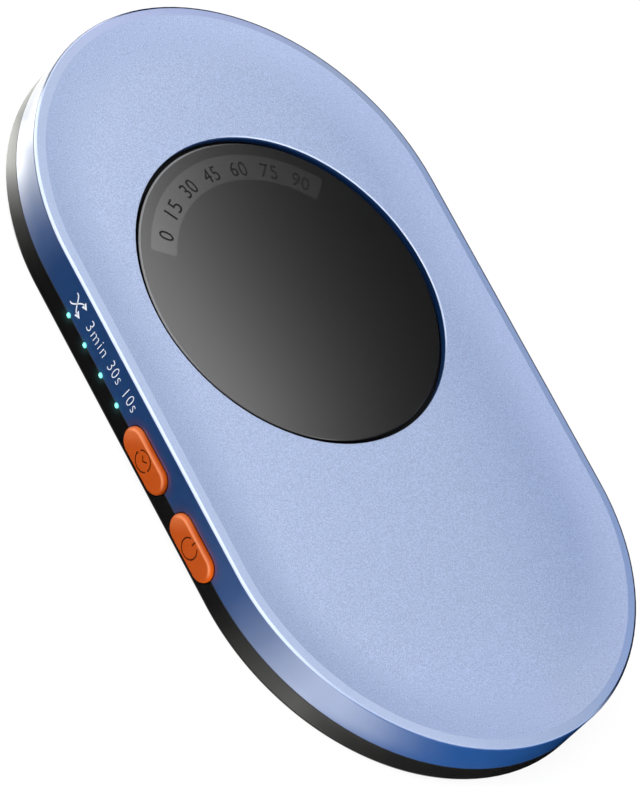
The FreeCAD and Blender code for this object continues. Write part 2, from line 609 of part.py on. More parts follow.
def turntable_bush():
    return ring(TURNTABLE, BUSH_RADIUS, BUSH_BORE, (HUB_BOTTOM, HUB_TOP))


def turntable_spindle():
    """Fixed post with a threaded end."""
    body = post(TURNTABLE, SPINDLE_RADIUS, (FLOOR_Z - SPINDLE_EMBED, SPINDLE_TOP))
    thread_span = (SPINDLE_TOP - SPINDLE_SCREW_LENGTH, SPINDLE_TOP)
    return body.cut(post(TURNTABLE, SPINDLE_SCREW_RADIUS + PRESS_GAP, thread_span))


def thrust_washer():
    top = SPINDLE_BOSS_TOP + THRUST_WASHER_THICKNESS
    return ring(TURNTABLE, SPINDLE_BOSS_RADIUS, SPINDLE_RADIUS + RUNNING_FIT, (SPINDLE_BOSS_TOP, top))


def spindle_washer():
    """Clamped on the spindle's end, it holds the hub down."""
    top = SPINDLE_TOP + SPINDLE_WASHER_THICKNESS
    return ring(TURNTABLE, SPINDLE_WASHER_RADIUS, SPINDLE_SCREW_RADIUS + PRESS_GAP, (SPINDLE_TOP, top))


def spindle_screw():
    length = SPINDLE_SCREW_LENGTH + SPINDLE_WASHER_THICKNESS - PRESS_GAP
    sizes = (SPINDLE_SCREW_RADIUS, length, SPINDLE_HEAD_RADIUS, SPINDLE_HEAD_HEIGHT)
    return screw(TURNTABLE, SPINDLE_TOP + SPINDLE_WASHER_THICKNESS, True, sizes)


# ------------------------------------------------------------------ gear train
def gear_edges(teeth, centre, first_tooth, z):
    """Edges round a spur gear whose first tooth is centred on the given angle."""
    pitch = MODULE * teeth / 2
    base = pitch * math.cos(PRESSURE_ANGLE)
    tip = pitch + ADDENDUM * MODULE
    root = pitch - DEDENDUM * MODULE
    flank_start = max(base, root)
    half_at_pitch = (math.pi * MODULE / 2 - BACKLASH) / (2 * pitch)
    whole = half_at_pitch + math.tan(PRESSURE_ANGLE) - PRESSURE_ANGLE

    def half_angle(radius):
        """Half of the tooth's angle at a radius, from the involute of the base circle."""
        roll = math.acos(min(1.0, base / radius))
        return whole - (math.tan(roll) - roll)

    flank = [flank_start, (flank_start + tip) / 2, tip]
    pitch_angle = 2 * math.pi / teeth
    edges = []
    for index in range(teeth):
        middle = first_tooth + index * pitch_angle
        rising = [polar(centre, r, middle - half_angle(r), z) for r in flank]
        falling = [polar(centre, r, middle + half_angle(r), z) for r in reversed(flank)]
        root_in = polar(centre, root, middle - half_angle(flank_start), z)
        root_out = polar(centre, root, middle + half_angle(flank_start), z)
        next_in = polar(centre, root, middle + pitch_angle - half_angle(flank_start), z)
        root_middle = polar(centre, root, middle + pitch_angle / 2, z)
        if base > root:
            edges.append(line(root_in, rising[0]))
        edges.append(arc(*rising))
        edges.append(arc(rising[2], polar(centre, tip, middle, z), falling[0]))
        edges.append(arc(*falling))
        if base > root:
            edges.append(line(falling[2], root_out))
        edges.append(arc(root_out, root_middle, next_in))
    return edges


def gear(teeth, centre, first_tooth, z_span):
    """Solid spur gear."""
    face = Part.Face(Part.Wire(gear_edges(teeth, centre, first_tooth, z_span[0])))
    return face.extrude(vec(0, 0, z_span[1] - z_span[0]))


def compound_gear():
    """Small pinion under a large wheel on one neck, meshing with the turntable's gear and the motor."""
    pinion_phase = math.pi / 2 + math.pi / IDLER_PINION_TEETH
    body = fused([
        gear(IDLER_PINION_TEETH, IDLER, pinion_phase, (IDLER_BOSS_TOP + AXIAL_PLAY, IDLER_PINION_TOP)),
        post(IDLER, IDLER_NECK_RADIUS, (IDLER_PINION_TOP, WHEEL_BOTTOM)),
        gear(IDLER_WHEEL_TEETH, IDLER, -math.pi / 2, (WHEEL_BOTTOM, WHEEL_TOP)),
    ])
    return body.cut(post(IDLER, IDLER_PIN_RADIUS + RUNNING_FIT, (IDLER_BOSS_TOP, IDLER_PIN_TOP)))


def idler_pin():
    return post(IDLER, IDLER_PIN_RADIUS, (FLOOR_Z - IDLER_PIN_EMBED, IDLER_PIN_TOP))


def idler_clip():
    """Push-on washer that keeps the compound gear on its pin."""
    top = IDLER_CLIP_BOTTOM + IDLER_CLIP_THICKNESS
    return ring(IDLER, IDLER_CLIP_RADIUS, IDLER_PIN_RADIUS, (IDLER_CLIP_BOTTOM, top))


# ------------------------------------------------------------------ motor
def motor_can():
    """Round steel cup."""
    cup = post(MOTOR, MOTOR_RADIUS, (MOTOR_BOTTOM, MOTOR_PLATE_BOTTOM))
    return cup.cut(post(MOTOR, MOTOR_RADIUS - MOTOR_CAN_WALL, (MOTOR_FLOOR, MOTOR_PLATE_BOTTOM)))


def motor_end_plate():
    """Lid of the motor with two ears on posts."""
    span = (MOTOR_PLATE_BOTTOM, MOTOR_PLATE_TOP)
    bar_y = (MOTOR[1] - MOTOR_EAR_RADIUS, MOTOR[1] + MOTOR_EAR_RADIUS)
    shapes = [post(MOTOR, MOTOR_RADIUS, span), block((-MOTOR_EAR_X, MOTOR_EAR_X), bar_y, span)]
    shapes += [post(centre, MOTOR_EAR_RADIUS, span) for centre in MOTOR_EARS]
    holes = [post(centre, BOARD_SCREW_RADIUS + PRESS_GAP, span) for centre in MOTOR_EARS]
    holes.append(post(MOTOR, MOTOR_SHAFT_RADIUS + RUNNING_FIT + MOTOR_BUSH_WALL, span))
    return fused(shapes).cut(holes)


def motor_coil():
    """Wound ring round the rotor."""
    outer = MOTOR_RADIUS - MOTOR_CAN_WALL
    return ring(MOTOR, outer, MOTOR_COIL_INNER, (MOTOR_FLOOR, MOTOR_PLATE_BOTTOM - MOTOR_COIL_GAP))


def motor_bushings():
    """Lower bush on the can's floor and upper bush in the end plate."""
    bore = MOTOR_SHAFT_RADIUS + RUNNING_FIT
    lower = ring(MOTOR, bore + MOTOR_BUSH_WALL, bore, (MOTOR_FLOOR, MOTOR_FLOOR + MOTOR_BUSH_HEIGHT / 2))
    upper = ring(MOTOR, bore + MOTOR_BUSH_WALL, bore, (MOTOR_PLATE_TOP - MOTOR_BUSH_HEIGHT, MOTOR_PLATE_TOP))
    return Part.Compound([lower, upper])


def motor_rotor():
    """Ring magnet on the shaft."""
    low = MOTOR_FLOOR + MOTOR_BUSH_HEIGHT / 2 + AXIAL_PLAY
    high = MOTOR_PLATE_TOP - MOTOR_BUSH_HEIGHT - AXIAL_PLAY
    return ring(MOTOR, MOTOR_MAGNET_RADIUS, MOTOR_SHAFT_RADIUS, (low, high))


def motor_shaft():
    return post(MOTOR, MOTOR_SHAFT_RADIUS, (MOTOR_FLOOR + AXIAL_PLAY, MOTOR_PINION_TOP))


def motor_pinion():
    """Brass pinion pressed on the shaft, a gap of it facing the idler's wheel."""
    phase = math.pi / 2 + math.pi / MOTOR_PINION_TEETH
    span = (MOTOR_PLATE_TOP + MOTOR_PLATE_GAP / 2, MOTOR_PINION_TOP)
    return gear(MOTOR_PINION_TEETH, MOTOR, phase, span).cut(post(MOTOR, MOTOR_SHAFT_RADIUS, span))


def motor_terminals():
    """Terminal block on the can's near side."""
    half = MOTOR_TERMINAL_WIDTH / 2
    body = block((-half, half), (MOTOR_TERMINAL_Y, MOTOR[1]), (MOTOR_FLOOR, MOTOR_PLATE_BOTTOM))
    body = body.cut(post(MOTOR, MOTOR_RADIUS, (MOTOR_FLOOR, MOTOR_PLATE_BOTTOM)))
    return body


def motor_screws():
    length = MOTOR_PLATE_TOP - FLOOR_Z - PRESS_GAP
    sizes = (BOARD_SCREW_RADIUS, length, BOARD_SCREW_HEAD_RADIUS, BOARD_SCREW_HEAD_HEIGHT)
    return Part.Compound([screw(centre, MOTOR_PLATE_TOP, True, sizes) for centre in MOTOR_EARS])


# ------------------------------------------------------------------ buttons and lamps
def icon_arc(y, start, sweep):
    """Arc groove in a button's face, its angles in degrees from +Y towards +Z."""
    face_x = -HALF_WIDTH - BUTTON_PROUD
    pivot = vec(face_x, y, BUTTON_Z)
    along = vec(1, 0, 0)
    inner = y + ICON_RADIUS - ICON_LINE / 2
    outer = y + ICON_RADIUS + ICON_LINE / 2
    corners = [(face_x, inner), (face_x + ICON_DEPTH, inner), (face_x + ICON_DEPTH, outer), (face_x, outer)]
    section = Part.Face(Part.makePolygon([vec(x, at, BUTTON_Z) for x, at in [*corners, corners[0]]]))
    section.rotate(pivot, along, start)
    return section.revolve(pivot, along, sweep)


def icon_head(y, angle):
    """Arrow head groove that points on round the icon from an angle in degrees."""
    face_x = -HALF_WIDTH - BUTTON_PROUD
    half = ICON_HEAD / 2
    low = vec(face_x, y + ICON_RADIUS - half, BUTTON_Z)
    high = vec(face_x, y + ICON_RADIUS + half, BUTTON_Z)
    tip = vec(face_x, y + ICON_RADIUS - ICON_LINE / 4, BUTTON_Z + ICON_HEAD)
    head = Part.Face(Part.makePolygon([low, high, tip, low])).extrude(vec(ICON_DEPTH, 0, 0))
    head.rotate(vec(face_x, y, BUTTON_Z), vec(1, 0, 0), angle)
    return head


def icon_stroke(y, radius_span, angle):
    """Straight groove along a ray from the icon's centre."""
    face_x = -HALF_WIDTH - BUTTON_PROUD
    half = ICON_LINE / 2
    y_span = (y + radius_span[0], y + radius_span[1])
    stroke = block((face_x, face_x + ICON_DEPTH), y_span, (BUTTON_Z - half, BUTTON_Z + half))
    stroke.rotate(vec(face_x, y, BUTTON_Z), vec(1, 0, 0), angle)
    return stroke


def timer_icon(y):
    """Two arc arrows chasing each other round a pair of clock hands."""
    half_turn = 180
    grooves = []
    for start in (TIMER_ARC_START, TIMER_ARC_START + half_turn):
        grooves.append(icon_arc(y, start, TIMER_ARC_SWEEP))
        grooves.append(icon_head(y, start + TIMER_ARC_SWEEP))
    grooves += [icon_stroke(y, (-ICON_LINE / 2, TIMER_HAND_LENGTH), angle) for angle in TIMER_HAND_ANGLES]
    return grooves


def power_icon(y):
    """Broken ring with an upright bar in the break."""
    upright = 90
    ring_start = upright + POWER_BREAK_ANGLE / 2
    bar_span = (POWER_BAR_START, ICON_RADIUS + ICON_LINE / 2)
    return [icon_arc(y, ring_start, 360 - POWER_BREAK_ANGLE), icon_stroke(y, bar_span, upright)]


def push_button(y, icon):
    """Capsule with a rounded face, a neck through the slot and ears behind the wall."""
    face_x = -HALF_WIDTH - BUTTON_PROUD
    ear_front = EAR_BACK_X - BUTTON_EAR_THICKNESS
    cap_back = ear_front - BUTTON_TRAVEL - 2 * LIP_CLEARANCE
    neck_height = 2 * (BUTTON_Z - FLOOR_Z - BUTTON_EAR_GAP)
    neck_length = BUTTON_LENGTH - BUTTON_HEIGHT + neck_height
    ear_length = BUTTON_LENGTH + 2 * BUTTON_EAR_LENGTH
    cap = side_stadium(y, BUTTON_Z, BUTTON_LENGTH, BUTTON_HEIGHT, (face_x, cap_back))
    front = [edge for edge in cap.Edges if edge.BoundBox.XMax < face_x + BUTTON_PROUD / 2]
    body = fused([
        cap.makeFillet(BUTTON_EDGE_ROUND, front),
        side_stadium(y, BUTTON_Z, neck_length, neck_height, (cap_back, ear_front)),
        side_stadium(y, BUTTON_Z, ear_length, neck_height, (ear_front, EAR_BACK_X)),
    ])
    return body.cut(icon)


def switch_stem(y):
    """Sliding stem between the button's ears and the switch."""
    half = STEM_WIDTH / 2
    z_span = (BUTTON_Z - STEM_HEIGHT / 2, BUTTON_Z + STEM_HEIGHT / 2)
    return block((EAR_BACK_X, BOARD_LEFT + STEM_ENGAGED), (y - half, y + half), z_span)


def switch_body(y):
    """Side-push switch on the board's edge with a pocket for its stem."""
    half = SWITCH_WIDTH / 2
    x_span = (BOARD_LEFT, BOARD_LEFT + SWITCH_DEPTH)
    body = block(x_span, (y - half, y + half), (BOARD_TOP, BUTTON_Z + SWITCH_ABOVE_STEM))
    reach = STEM_WIDTH / 2 + STEM_CLEARANCE
    rise = STEM_HEIGHT / 2 + STEM_CLEARANCE
    pocket_span = (BOARD_LEFT, BOARD_LEFT + STEM_ENGAGED + BUTTON_TRAVEL + STEM_CLEARANCE)
    return body.cut(block(pocket_span, (y - reach, y + reach), (BUTTON_Z - rise, BUTTON_Z + rise)))


def light_pipe():
    """Clear bar behind the wall with a round window through it for each lamp."""
    front = -WALL_X + LIP_CLEARANCE
    y_span = (LAMP_YS[-1] - LIGHT_BAR_END, LAMP_YS[0] + LIGHT_BAR_END)
    z_span = (LAMP_Z - LIGHT_BAR_HEIGHT / 2, LAMP_Z + LIGHT_BAR_HEIGHT / 2)
    shapes = [block((front, BOARD_LEFT - STEM_CLEARANCE), y_span, z_span)]
    for y in LAMP_YS:
        start = vec(-HALF_WIDTH, y, LAMP_Z)
        shapes.append(Part.makeCylinder(LAMP_RADIUS, HALF_WIDTH + front, start, vec(1, 0, 0)))
    return fused(shapes)


def indicator_leds():
    half = LED_WIDTH / 2
    x_span = (BOARD_LEFT, BOARD_LEFT + LED_DEPTH)
    z_span = (BOARD_TOP, LAMP_Z + LED_HEIGHT_OVER_AXIS)
    return Part.Compound([block(x_span, (y - half, y + half), z_span) for y in LAMP_YS])


# ------------------------------------------------------------------ electronics
def main_board():
    """Long strip beside the turntable's gear that widens beside the motor."""
    span = (BOARD_BOTTOM, BOARD_TOP)
    strip = block((BOARD_LEFT, BOARD_STRIP_RIGHT), (BOARD_NEAR, BOARD_FAR), span)
    wide = block((BOARD_LEFT, BOARD_WIDE_RIGHT), (BOARD_NEAR, BOARD_STEP_Y), span)
    holes = [post(centre, BOARD_SCREW_RADIUS + BOARD_HOLE_GAP, span) for centre in BOARD_SCREWS]
    return fused([strip, wide]).cut(holes)


def board_screws(centres):
    """Short screws that hold a board down on its standoffs."""
    length = BOARD_THICKNESS + STANDOFF_HEIGHT + BOARD_SCREW_BITE - PRESS_GAP
    sizes = (BOARD_SCREW_RADIUS, length, BOARD_SCREW_HEAD_RADIUS, BOARD_SCREW_HEAD_HEIGHT)
    return Part.Compound([screw(centre, BOARD_TOP, True, sizes) for centre in centres])


def controller_chip():
    """Square chip on the wide part of the board, beside the power switch."""
    x_low = BOARD_LEFT + SWITCH_DEPTH + CONTROLLER_SIZE / 2
    y_middle = POWER_BUTTON_Y - CONTROLLER_SIZE / 2
    half = CONTROLLER_SIZE / 2
    z_span = (BOARD_TOP, BOARD_TOP + CONTROLLER_HEIGHT)
    return block((x_low, x_low + CONTROLLER_SIZE), (y_middle - half, y_middle + half), z_span)


def driver_chip():
    """Motor driver near the board's edge that faces the motor."""
    x_high = BOARD_WIDE_RIGHT - BOARD_PART_MARGIN
    y_low = POWER_BUTTON_Y - DRIVER_LENGTH / 2
    z_span = (BOARD_TOP, BOARD_TOP + DRIVER_HEIGHT)
    return block((x_high - DRIVER_WIDTH, x_high), (y_low, y_low + DRIVER_LENGTH), z_span)


def board_capacitors():
    """Row of small capacitors along the strip."""
    x_low = (BOARD_LEFT + BOARD_STRIP_RIGHT) / 2
    z_span = (BOARD_TOP, BOARD_TOP + CAPACITOR_SIZE)
    row = []
    for index in range(CAPACITOR_COUNT):
        y_low = TIMER_BUTTON_Y + SWITCH_WIDTH + CAPACITOR_PITCH * index
        row.append(block((x_low, x_low + CAPACITOR_SIZE), (y_low, y_low + CAPACITOR_SIZE), z_span))
    return Part.Compound(row)


def lead_socket(x, mouth_y, inward):
    """Box socket whose mouth faces away from its board; inward is +1 or -1 along Y."""
    half = SOCKET_WIDTH / 2
    y_span = sorted((mouth_y, mouth_y + inward * SOCKET_DEPTH))
    body = block((x - half, x + half), y_span, (BOARD_TOP, BOARD_TOP + SOCKET_HEIGHT))
    plug_y = sorted((mouth_y, mouth_y + inward * SOCKET_PLUG_DEPTH))
    plug_z = (BOARD_TOP + SOCKET_WALL, BOARD_TOP + SOCKET_HEIGHT - SOCKET_WALL)
    return body.cut(block((x - half + SOCKET_WALL, x + half - SOCKET_WALL), plug_y, plug_z))


def usb_board():
    """Small board at the far end that carries the power inlet."""
    span = (BOARD_BOTTOM, BOARD_TOP)
    half = USB_BOARD_HALF_WIDTH
    body = block((-half, half), (USB_BOARD_NEAR, USB_BOARD_FAR), span)
    return body.cut([post(centre, BOARD_SCREW_RADIUS + BOARD_HOLE_GAP, span) for centre in USB_SCREWS])


def usb_socket_shell():
    """Steel stadium tube of the power inlet."""
    y_span = (USB_MOUTH_Y - USB_SHELL_LENGTH, USB_MOUTH_Y)
    outer = end_stadium(USB_Z, USB_SHELL_WIDTH, USB_SHELL_HEIGHT, y_span)
    inner_width = USB_SHELL_WIDTH - 2 * USB_SHELL_WALL
    return outer.cut(end_stadium(USB_Z, inner_width, USB_SHELL_HEIGHT - 2 * USB_SHELL_WALL, y_span))


def usb_socket_tongue():
    """Insulating block at the back of the inlet with the contact tongue in front."""
    back = USB_MOUTH_Y - USB_SHELL_LENGTH
    inner_width = USB_SHELL_WIDTH - 2 * USB_SHELL_WALL
    inner_height = USB_SHELL_HEIGHT - 2 * USB_SHELL_WALL
    rear = end_stadium(USB_Z, inner_width, inner_height, (back, back + USB_BLOCK_LENGTH))
    half = USB_TONGUE_WIDTH / 2
    z_span = (USB_Z - USB_TONGUE_THICKNESS / 2, USB_Z + USB_TONGUE_THICKNESS / 2)
    tongue = block((-half, half), (back + USB_BLOCK_LENGTH, USB_MOUTH_Y - USB_TONGUE_INSET), z_span)
    return fused([rear, tongue])


# ------------------------------------------------------------------ inner leads
def lead(points, diameter, name):
    """Round lead of straight runs joined by the largest even tangent arcs."""
    runs = [(after - before).Length for before, after in zip(points, points[1:])]
    edges = []
    here = points[0]
    radii = []
    for index in range(1, len(points) - 1):
        before, corner, after = points[index - 1 : index + 2]
        half = (before - corner).getAngle(after - corner) / 2
        radius = BEND_SHARE * min(runs[index - 1], runs[index]) * math.tan(half)
        start, middle, end = corner_arc(before, corner, after, radius)
        edges += [line(here, start), arc(start, middle, end)]
        here = end
        radii.append(round(radius, 2))
    edges.append(line(here, points[-1]))
    path = Part.Wire(edges)
    section = Part.Wire([Part.makeCircle(diameter / 2, points[0], points[1] - points[0])])
    tube = path.makePipeShell([section], True, False)
    expected = math.pi * diameter**2 / 4 * path.Length
    print(name, "bend radii", radii, "volume over section times length", round(tube.Volume / expected, 5))
    return tube


def power_lead():
    """From the inlet's board past the turntable's gear to the main board."""
    round_radius = DISC_RADIUS + POWER_LEAD_CLEARANCE
    route = [vec(USB_LEAD_X, USB_BOARD_NEAR + SOCKET_DEPTH - SOCKET_PLUG_DEPTH, LEAD_Z)]
    route += [polar(TURNTABLE, round_radius, math.radians(angle), LEAD_Z) for angle in POWER_LEAD_ANGLES]
    route.append(vec(POWER_LEAD_X, BOARD_FAR + POWER_LEAD_RUN, LEAD_Z))
    route.append(vec(POWER_LEAD_X, BOARD_FAR - SOCKET_PLUG_DEPTH, LEAD_Z))
    return lead(route, POWER_LEAD_DIAMETER, "power_lead")


def motor_lead():
    """Loose loop from the motor's terminals to the main board."""
    run_end = MOTOR_TERMINAL_Y - MOTOR_LEAD_RUN
    route = [
        (MOTOR[0], MOTOR_TERMINAL_Y),
        (MOTOR[0], run_end),
        ((MOTOR[0] + MOTOR_LEAD_X) / 2, run_end - MOTOR_LEAD_SAG),
        (MOTOR_LEAD_X, run_end),
        (MOTOR_LEAD_X, BOARD_NEAR + SOCKET_PLUG_DEPTH),
    ]
    return lead([vec(x, y, LEAD_Z) for x, y in route], MOTOR_LEAD_DIAMETER, "motor_lead")


# ------------------------------------------------------------------ all pieces
def pieces():
    """Every piece by its name."""
    made = {
        "top_cover": top_cover(),
        "bottom_cover": bottom_cover(),
        "rubber_feet": rubber_feet(),
        "case_screws": case_screws(),
        "turntable_disc": turntable_disc(),
        "scale_inlay": scale_inlay(),
        "turntable_carrier": turntable_carrier(),
        "turntable_gear": turntable_gear(),
        "turntable_bush": turntable_bush(),
        "turntable_spindle": turntable_spindle(),
        "thrust_washer": thrust_washer(),
        "spindle_washer": spindle_washer(),
        "spindle_screw": spindle_screw(),
        "compound_gear": compound_gear(),
        "idler_pin": idler_pin(),
        "idler_clip": idler_clip(),
        "motor_can": motor_can(),
        "motor_end_plate": motor_end_plate(),
        "motor_coil": motor_coil(),
        "motor_bushings": motor_bushings(),
        "motor_rotor": motor_rotor(),
        "motor_shaft": motor_shaft(),
        "motor_pinion": motor_pinion(),
        "motor_terminals": motor_terminals(),
        "motor_screws": motor_screws(),
        "timer_button": push_button(TIMER_BUTTON_Y, timer_icon(TIMER_BUTTON_Y)),
        "power_button": push_button(POWER_BUTTON_Y, power_icon(POWER_BUTTON_Y)),
        "light_pipe": light_pipe(),
        "indicator_leds": indicator_leds(),
        "main_board": main_board(),
        "board_screws": board_screws(BOARD_SCREWS),
        "controller_chip": controller_chip(),
        "driver_chip": driver_chip(),
        "board_capacitors": board_capacitors(),
        "power_lead_socket": lead_socket(POWER_LEAD_X, BOARD_FAR, -1),
        "motor_lead_socket": lead_socket(MOTOR_LEAD_X, BOARD_NEAR, 1),
        "usb_lead_socket": lead_socket(USB_LEAD_X, USB_BOARD_NEAR, 1),
        "usb_board": usb_board(),
        "usb_board_screws": board_screws(USB_SCREWS),
        "usb_socket_shell": usb_socket_shell(),
        "usb_socket_tongue": usb_socket_tongue(),
        "power_lead": power_lead(),
        "motor_lead": motor_lead(),
    }
    for name, y in BUTTONS.items():
        made[name + "_switch_stem"] = switch_stem(y)
        made[name + "_switch_body"] = switch_body(y)
    return made


def main():
    os.makedirs("parts", exist_ok=True)
    for name, shape in pieces().items():
        if not shape.isValid():
            raise ValueError(name + " is not a valid shape")
        shape.exportStep(os.path.join("parts", name + ".step"))
        print(name, len(shape.Solids), round(shape.Volume, 2))


main()
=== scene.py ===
# %% [markdown]
# # A slim desk mouse mover
# The object is a pad with round ends, 84 by 146 mm and 11 mm thick. A disc set into its top turns slowly
# and keeps a computer mouse moving. The engineering model comes in as a fixed frame of named solids in
# metres. This lesson gives each of them its finish, and adds the small pieces that catch the eye.

# %% Load the fixed frame
import math
from functools import partial

import bmesh
import bpy
from mathutils import Matrix, Vector


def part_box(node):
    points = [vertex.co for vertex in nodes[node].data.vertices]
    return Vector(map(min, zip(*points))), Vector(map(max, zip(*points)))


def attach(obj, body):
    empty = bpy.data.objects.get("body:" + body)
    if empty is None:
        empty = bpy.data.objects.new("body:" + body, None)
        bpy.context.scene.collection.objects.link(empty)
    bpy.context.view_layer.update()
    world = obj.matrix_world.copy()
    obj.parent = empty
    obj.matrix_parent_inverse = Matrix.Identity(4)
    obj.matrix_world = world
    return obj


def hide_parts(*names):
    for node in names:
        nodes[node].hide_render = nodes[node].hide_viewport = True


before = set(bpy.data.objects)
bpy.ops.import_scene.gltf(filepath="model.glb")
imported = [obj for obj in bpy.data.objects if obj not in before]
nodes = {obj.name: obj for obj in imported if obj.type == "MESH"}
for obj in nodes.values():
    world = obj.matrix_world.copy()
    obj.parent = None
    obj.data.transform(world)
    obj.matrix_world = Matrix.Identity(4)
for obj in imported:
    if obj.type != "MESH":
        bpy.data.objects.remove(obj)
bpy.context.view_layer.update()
MM = 0.001

# %% [markdown]
# ## The camera
# A long lens from a metre away keeps the round ends round. The view looks down at about 43 degrees on the
# left long side, where the buttons are, so that side and the top show together.

# %% Placing an object
def placed(name, data):
    """Object at the origin that shows a mesh, lens, lamp or text."""
    piece = bpy.data.objects.new(name, data)
    bpy.context.scene.collection.objects.link(piece)
    return piece


# %% Camera
CAMERA_PLACE = Vector((-0.724262, -0.316215, 0.749193))
CAMERA_RIGHT = Vector((0.72682, -0.45613, 0.51349))
CAMERA_UP = Vector((0.16373, 0.84114, 0.51544))
IMAGE_HEIGHT = 786
FOCAL_PIXELS = 6483.9

lens = bpy.data.cameras.new("studio_camera")
lens.sensor_width = 36.0
lens.lens = FOCAL_PIXELS * lens.sensor_width / IMAGE_HEIGHT
lens.clip_start = 0.05
camera = placed("studio_camera", lens)
axes = Matrix((CAMERA_RIGHT, CAMERA_UP, CAMERA_RIGHT.cross(CAMERA_UP))).transposed()
camera.matrix_world = Matrix.Translation(CAMERA_PLACE) @ axes.to_4x4()
bpy.context.scene.camera = camera
bpy.context.scene.view_settings.view_transform = "Standard"
print("lens in mm:", round(lens.lens, 1))

# %% [markdown]
# ## Three small helpers
# Shaders work with linear light, while colours are picked in sRGB, so one function turns a hex colour into
# linear numbers. Another adds a node with its settings and fills its inputs, each with a number, with
# another node, with one socket of another node, or with a hex colour. The third lists the inputs of a
# change from one value to another, which is what most masks are. Settings that come up often have names.

# %% Colour and node helpers
def linear(hex_colour):
    """sRGB hex to the linear colour that shaders use."""
    shares = [int(hex_colour[i : i + 2], 16) / 255 for i in (0, 2, 4)]
    return (*[s / 12.92 if s <= 0.04045 else ((s + 0.055) / 1.055) ** 2.4 for s in shares], 1.0)


def add_node(tree, kind, inputs=None, **settings):
    """Adds a node; a node given as an input links its first output in use, and text is a hex colour."""
    plain = kind.startswith(("Geometry", "NodeGroup"))
    node = tree.nodes.new(kind if plain else "ShaderNode" + kind)
    for name, value in settings.items():
        setattr(node, name, value)
    for name, value in (inputs or {}).items():
        if isinstance(value, bpy.types.Node):
            value = next(output for output in value.outputs if output.enabled)
        elif isinstance(value, str):
            value = linear(value)
        if isinstance(value, bpy.types.NodeSocket):
            tree.links.new(value, node.inputs[name])
        else:
            node.inputs[name].default_value = value
    return node


def mask(value, low, high, start=0.0, end=1.0):
    """Inputs of a change from start to end as a value goes from low to high."""
    return {"Value": value, "From Min": low, "From Max": high, "To Min": start, "To Max": end}


SMOOTH = {"interpolation_type": "SMOOTHSTEP"}
RGBA = {"data_type": "RGBA"}
TIMES = {"operation": "MULTIPLY"}
MINUS = {"operation": "SUBTRACT"}
LARGER = {"operation": "MAXIMUM"}
DOT = {"operation": "DOT_PRODUCT"}
print("white is", linear("FFFFFF"))

# %% [markdown]
# ## The sky
# A soft even sky lights the pad. It looks white to the camera, in reflections and through clear pieces,
# which the Light Path node tells apart, while its light on matt surfaces stays at a plain level.

# %% Sky
SKY_LEVEL = 0.62

world = bpy.data.worlds.new("soft_sky")
bpy.context.scene.world = world
world.use_nodes = True
world.node_tree.nodes.clear()
add = partial(add_node, world.node_tree)
ray = add("LightPath").outputs
seen = add("Math", {0: ray["Is Camera Ray"], 1: ray["Is Glossy Ray"]}, **LARGER)
seen = add("Math", {0: seen, 1: ray["Is Transmission Ray"]}, **LARGER)
level = add("MapRange", mask(seen, 0, 1, SKY_LEVEL, 1.0))
add("OutputWorld", {"Surface": add("Background", {"Color": "FFFFFF", "Strength": level})})
print("sky level on matt surfaces:", SKY_LEVEL)

# %% [markdown]
# ## The table
# The pad lies on a plain pale table. A shiny wall mirrors what lies beside it, so studio work puts cards
# round the object. Here the table itself carries them, and only reflections see them: light cards at the
# two left ends, dark ones between. One ring of cards serves the blue wall and a nearer one the black tray,
# which mirrors the table closer to the pad. Each ring is a colour ramp over the angle round the pad. The
# feet hold the case just off the table, and a thin painted shadow darkens the table under its edge.

# %% Starting a material
def new_finish(name):
    """Starts a material; gives back it, a function that adds nodes to it, and the place on the object."""
    material = bpy.data.materials.new(name)
    material.use_nodes = True
    material.node_tree.nodes.clear()
    add = partial(add_node, material.node_tree)
    return material, add, add("TexCoord").outputs["Object"]


print("materials so far:", len(bpy.data.materials))

# %% Way round the pad
CASE_END = 31 * MM  # centre of each round end


def round_pad(add, place):
    """Parts of a place, the nearest place along the centre line, how far past it, and the way out to it."""
    parts = add("SeparateXYZ", {0: place}).outputs
    along = add("Clamp", {"Value": parts["Y"], "Min": -CASE_END, "Max": CASE_END})
    past = add("Math", {0: parts["Y"], 1: along}, **MINUS)
    return parts, along, past, add("CombineXYZ", {"X": parts["X"], "Y": past})


print("length of the straight sides in mm:", round(2 * CASE_END / MM))

# %% Table sheet and the angle round the pad
TABLE_REACH = 3.0
SIDE_TURN = 0.1  # share by which a place along the straight sides turns the angle
TRAY_RING_END, WALL_RING_START = 45 * MM, 48 * MM  # from the pad's centre line


def sheet(name, low, high, height, material):
    """Level rectangle from its low to its high corner."""
    mesh = bpy.data.meshes.new(name)
    corners = (low, (high[0], low[1]), high, (low[0], high[1]))
    mesh.from_pydata([(x, y, height) for x, y in corners], [], [(0, 1, 2, 3)])
    mesh.materials.append(material)
    return placed(name, mesh)


table, add, place = new_finish("pale_table")
sheet("table", (-TABLE_REACH, -TABLE_REACH), (TABLE_REACH, TABLE_REACH), 0, table)
parts, along, past, out = round_pad(add, place)
slant = add("Math", {0: along, 1: SIDE_TURN, 2: past}, operation="MULTIPLY_ADD")
angle = add("Math", {0: slant, 1: parts["X"]}, operation="ARCTAN2")
turn = add("MapRange", mask(angle, -math.pi, math.pi))
distance = add("VectorMath", {0: out}, operation="LENGTH")
beyond = add("MapRange", mask(distance, TRAY_RING_END, WALL_RING_START))
print("table of", 2 * TABLE_REACH, "m")

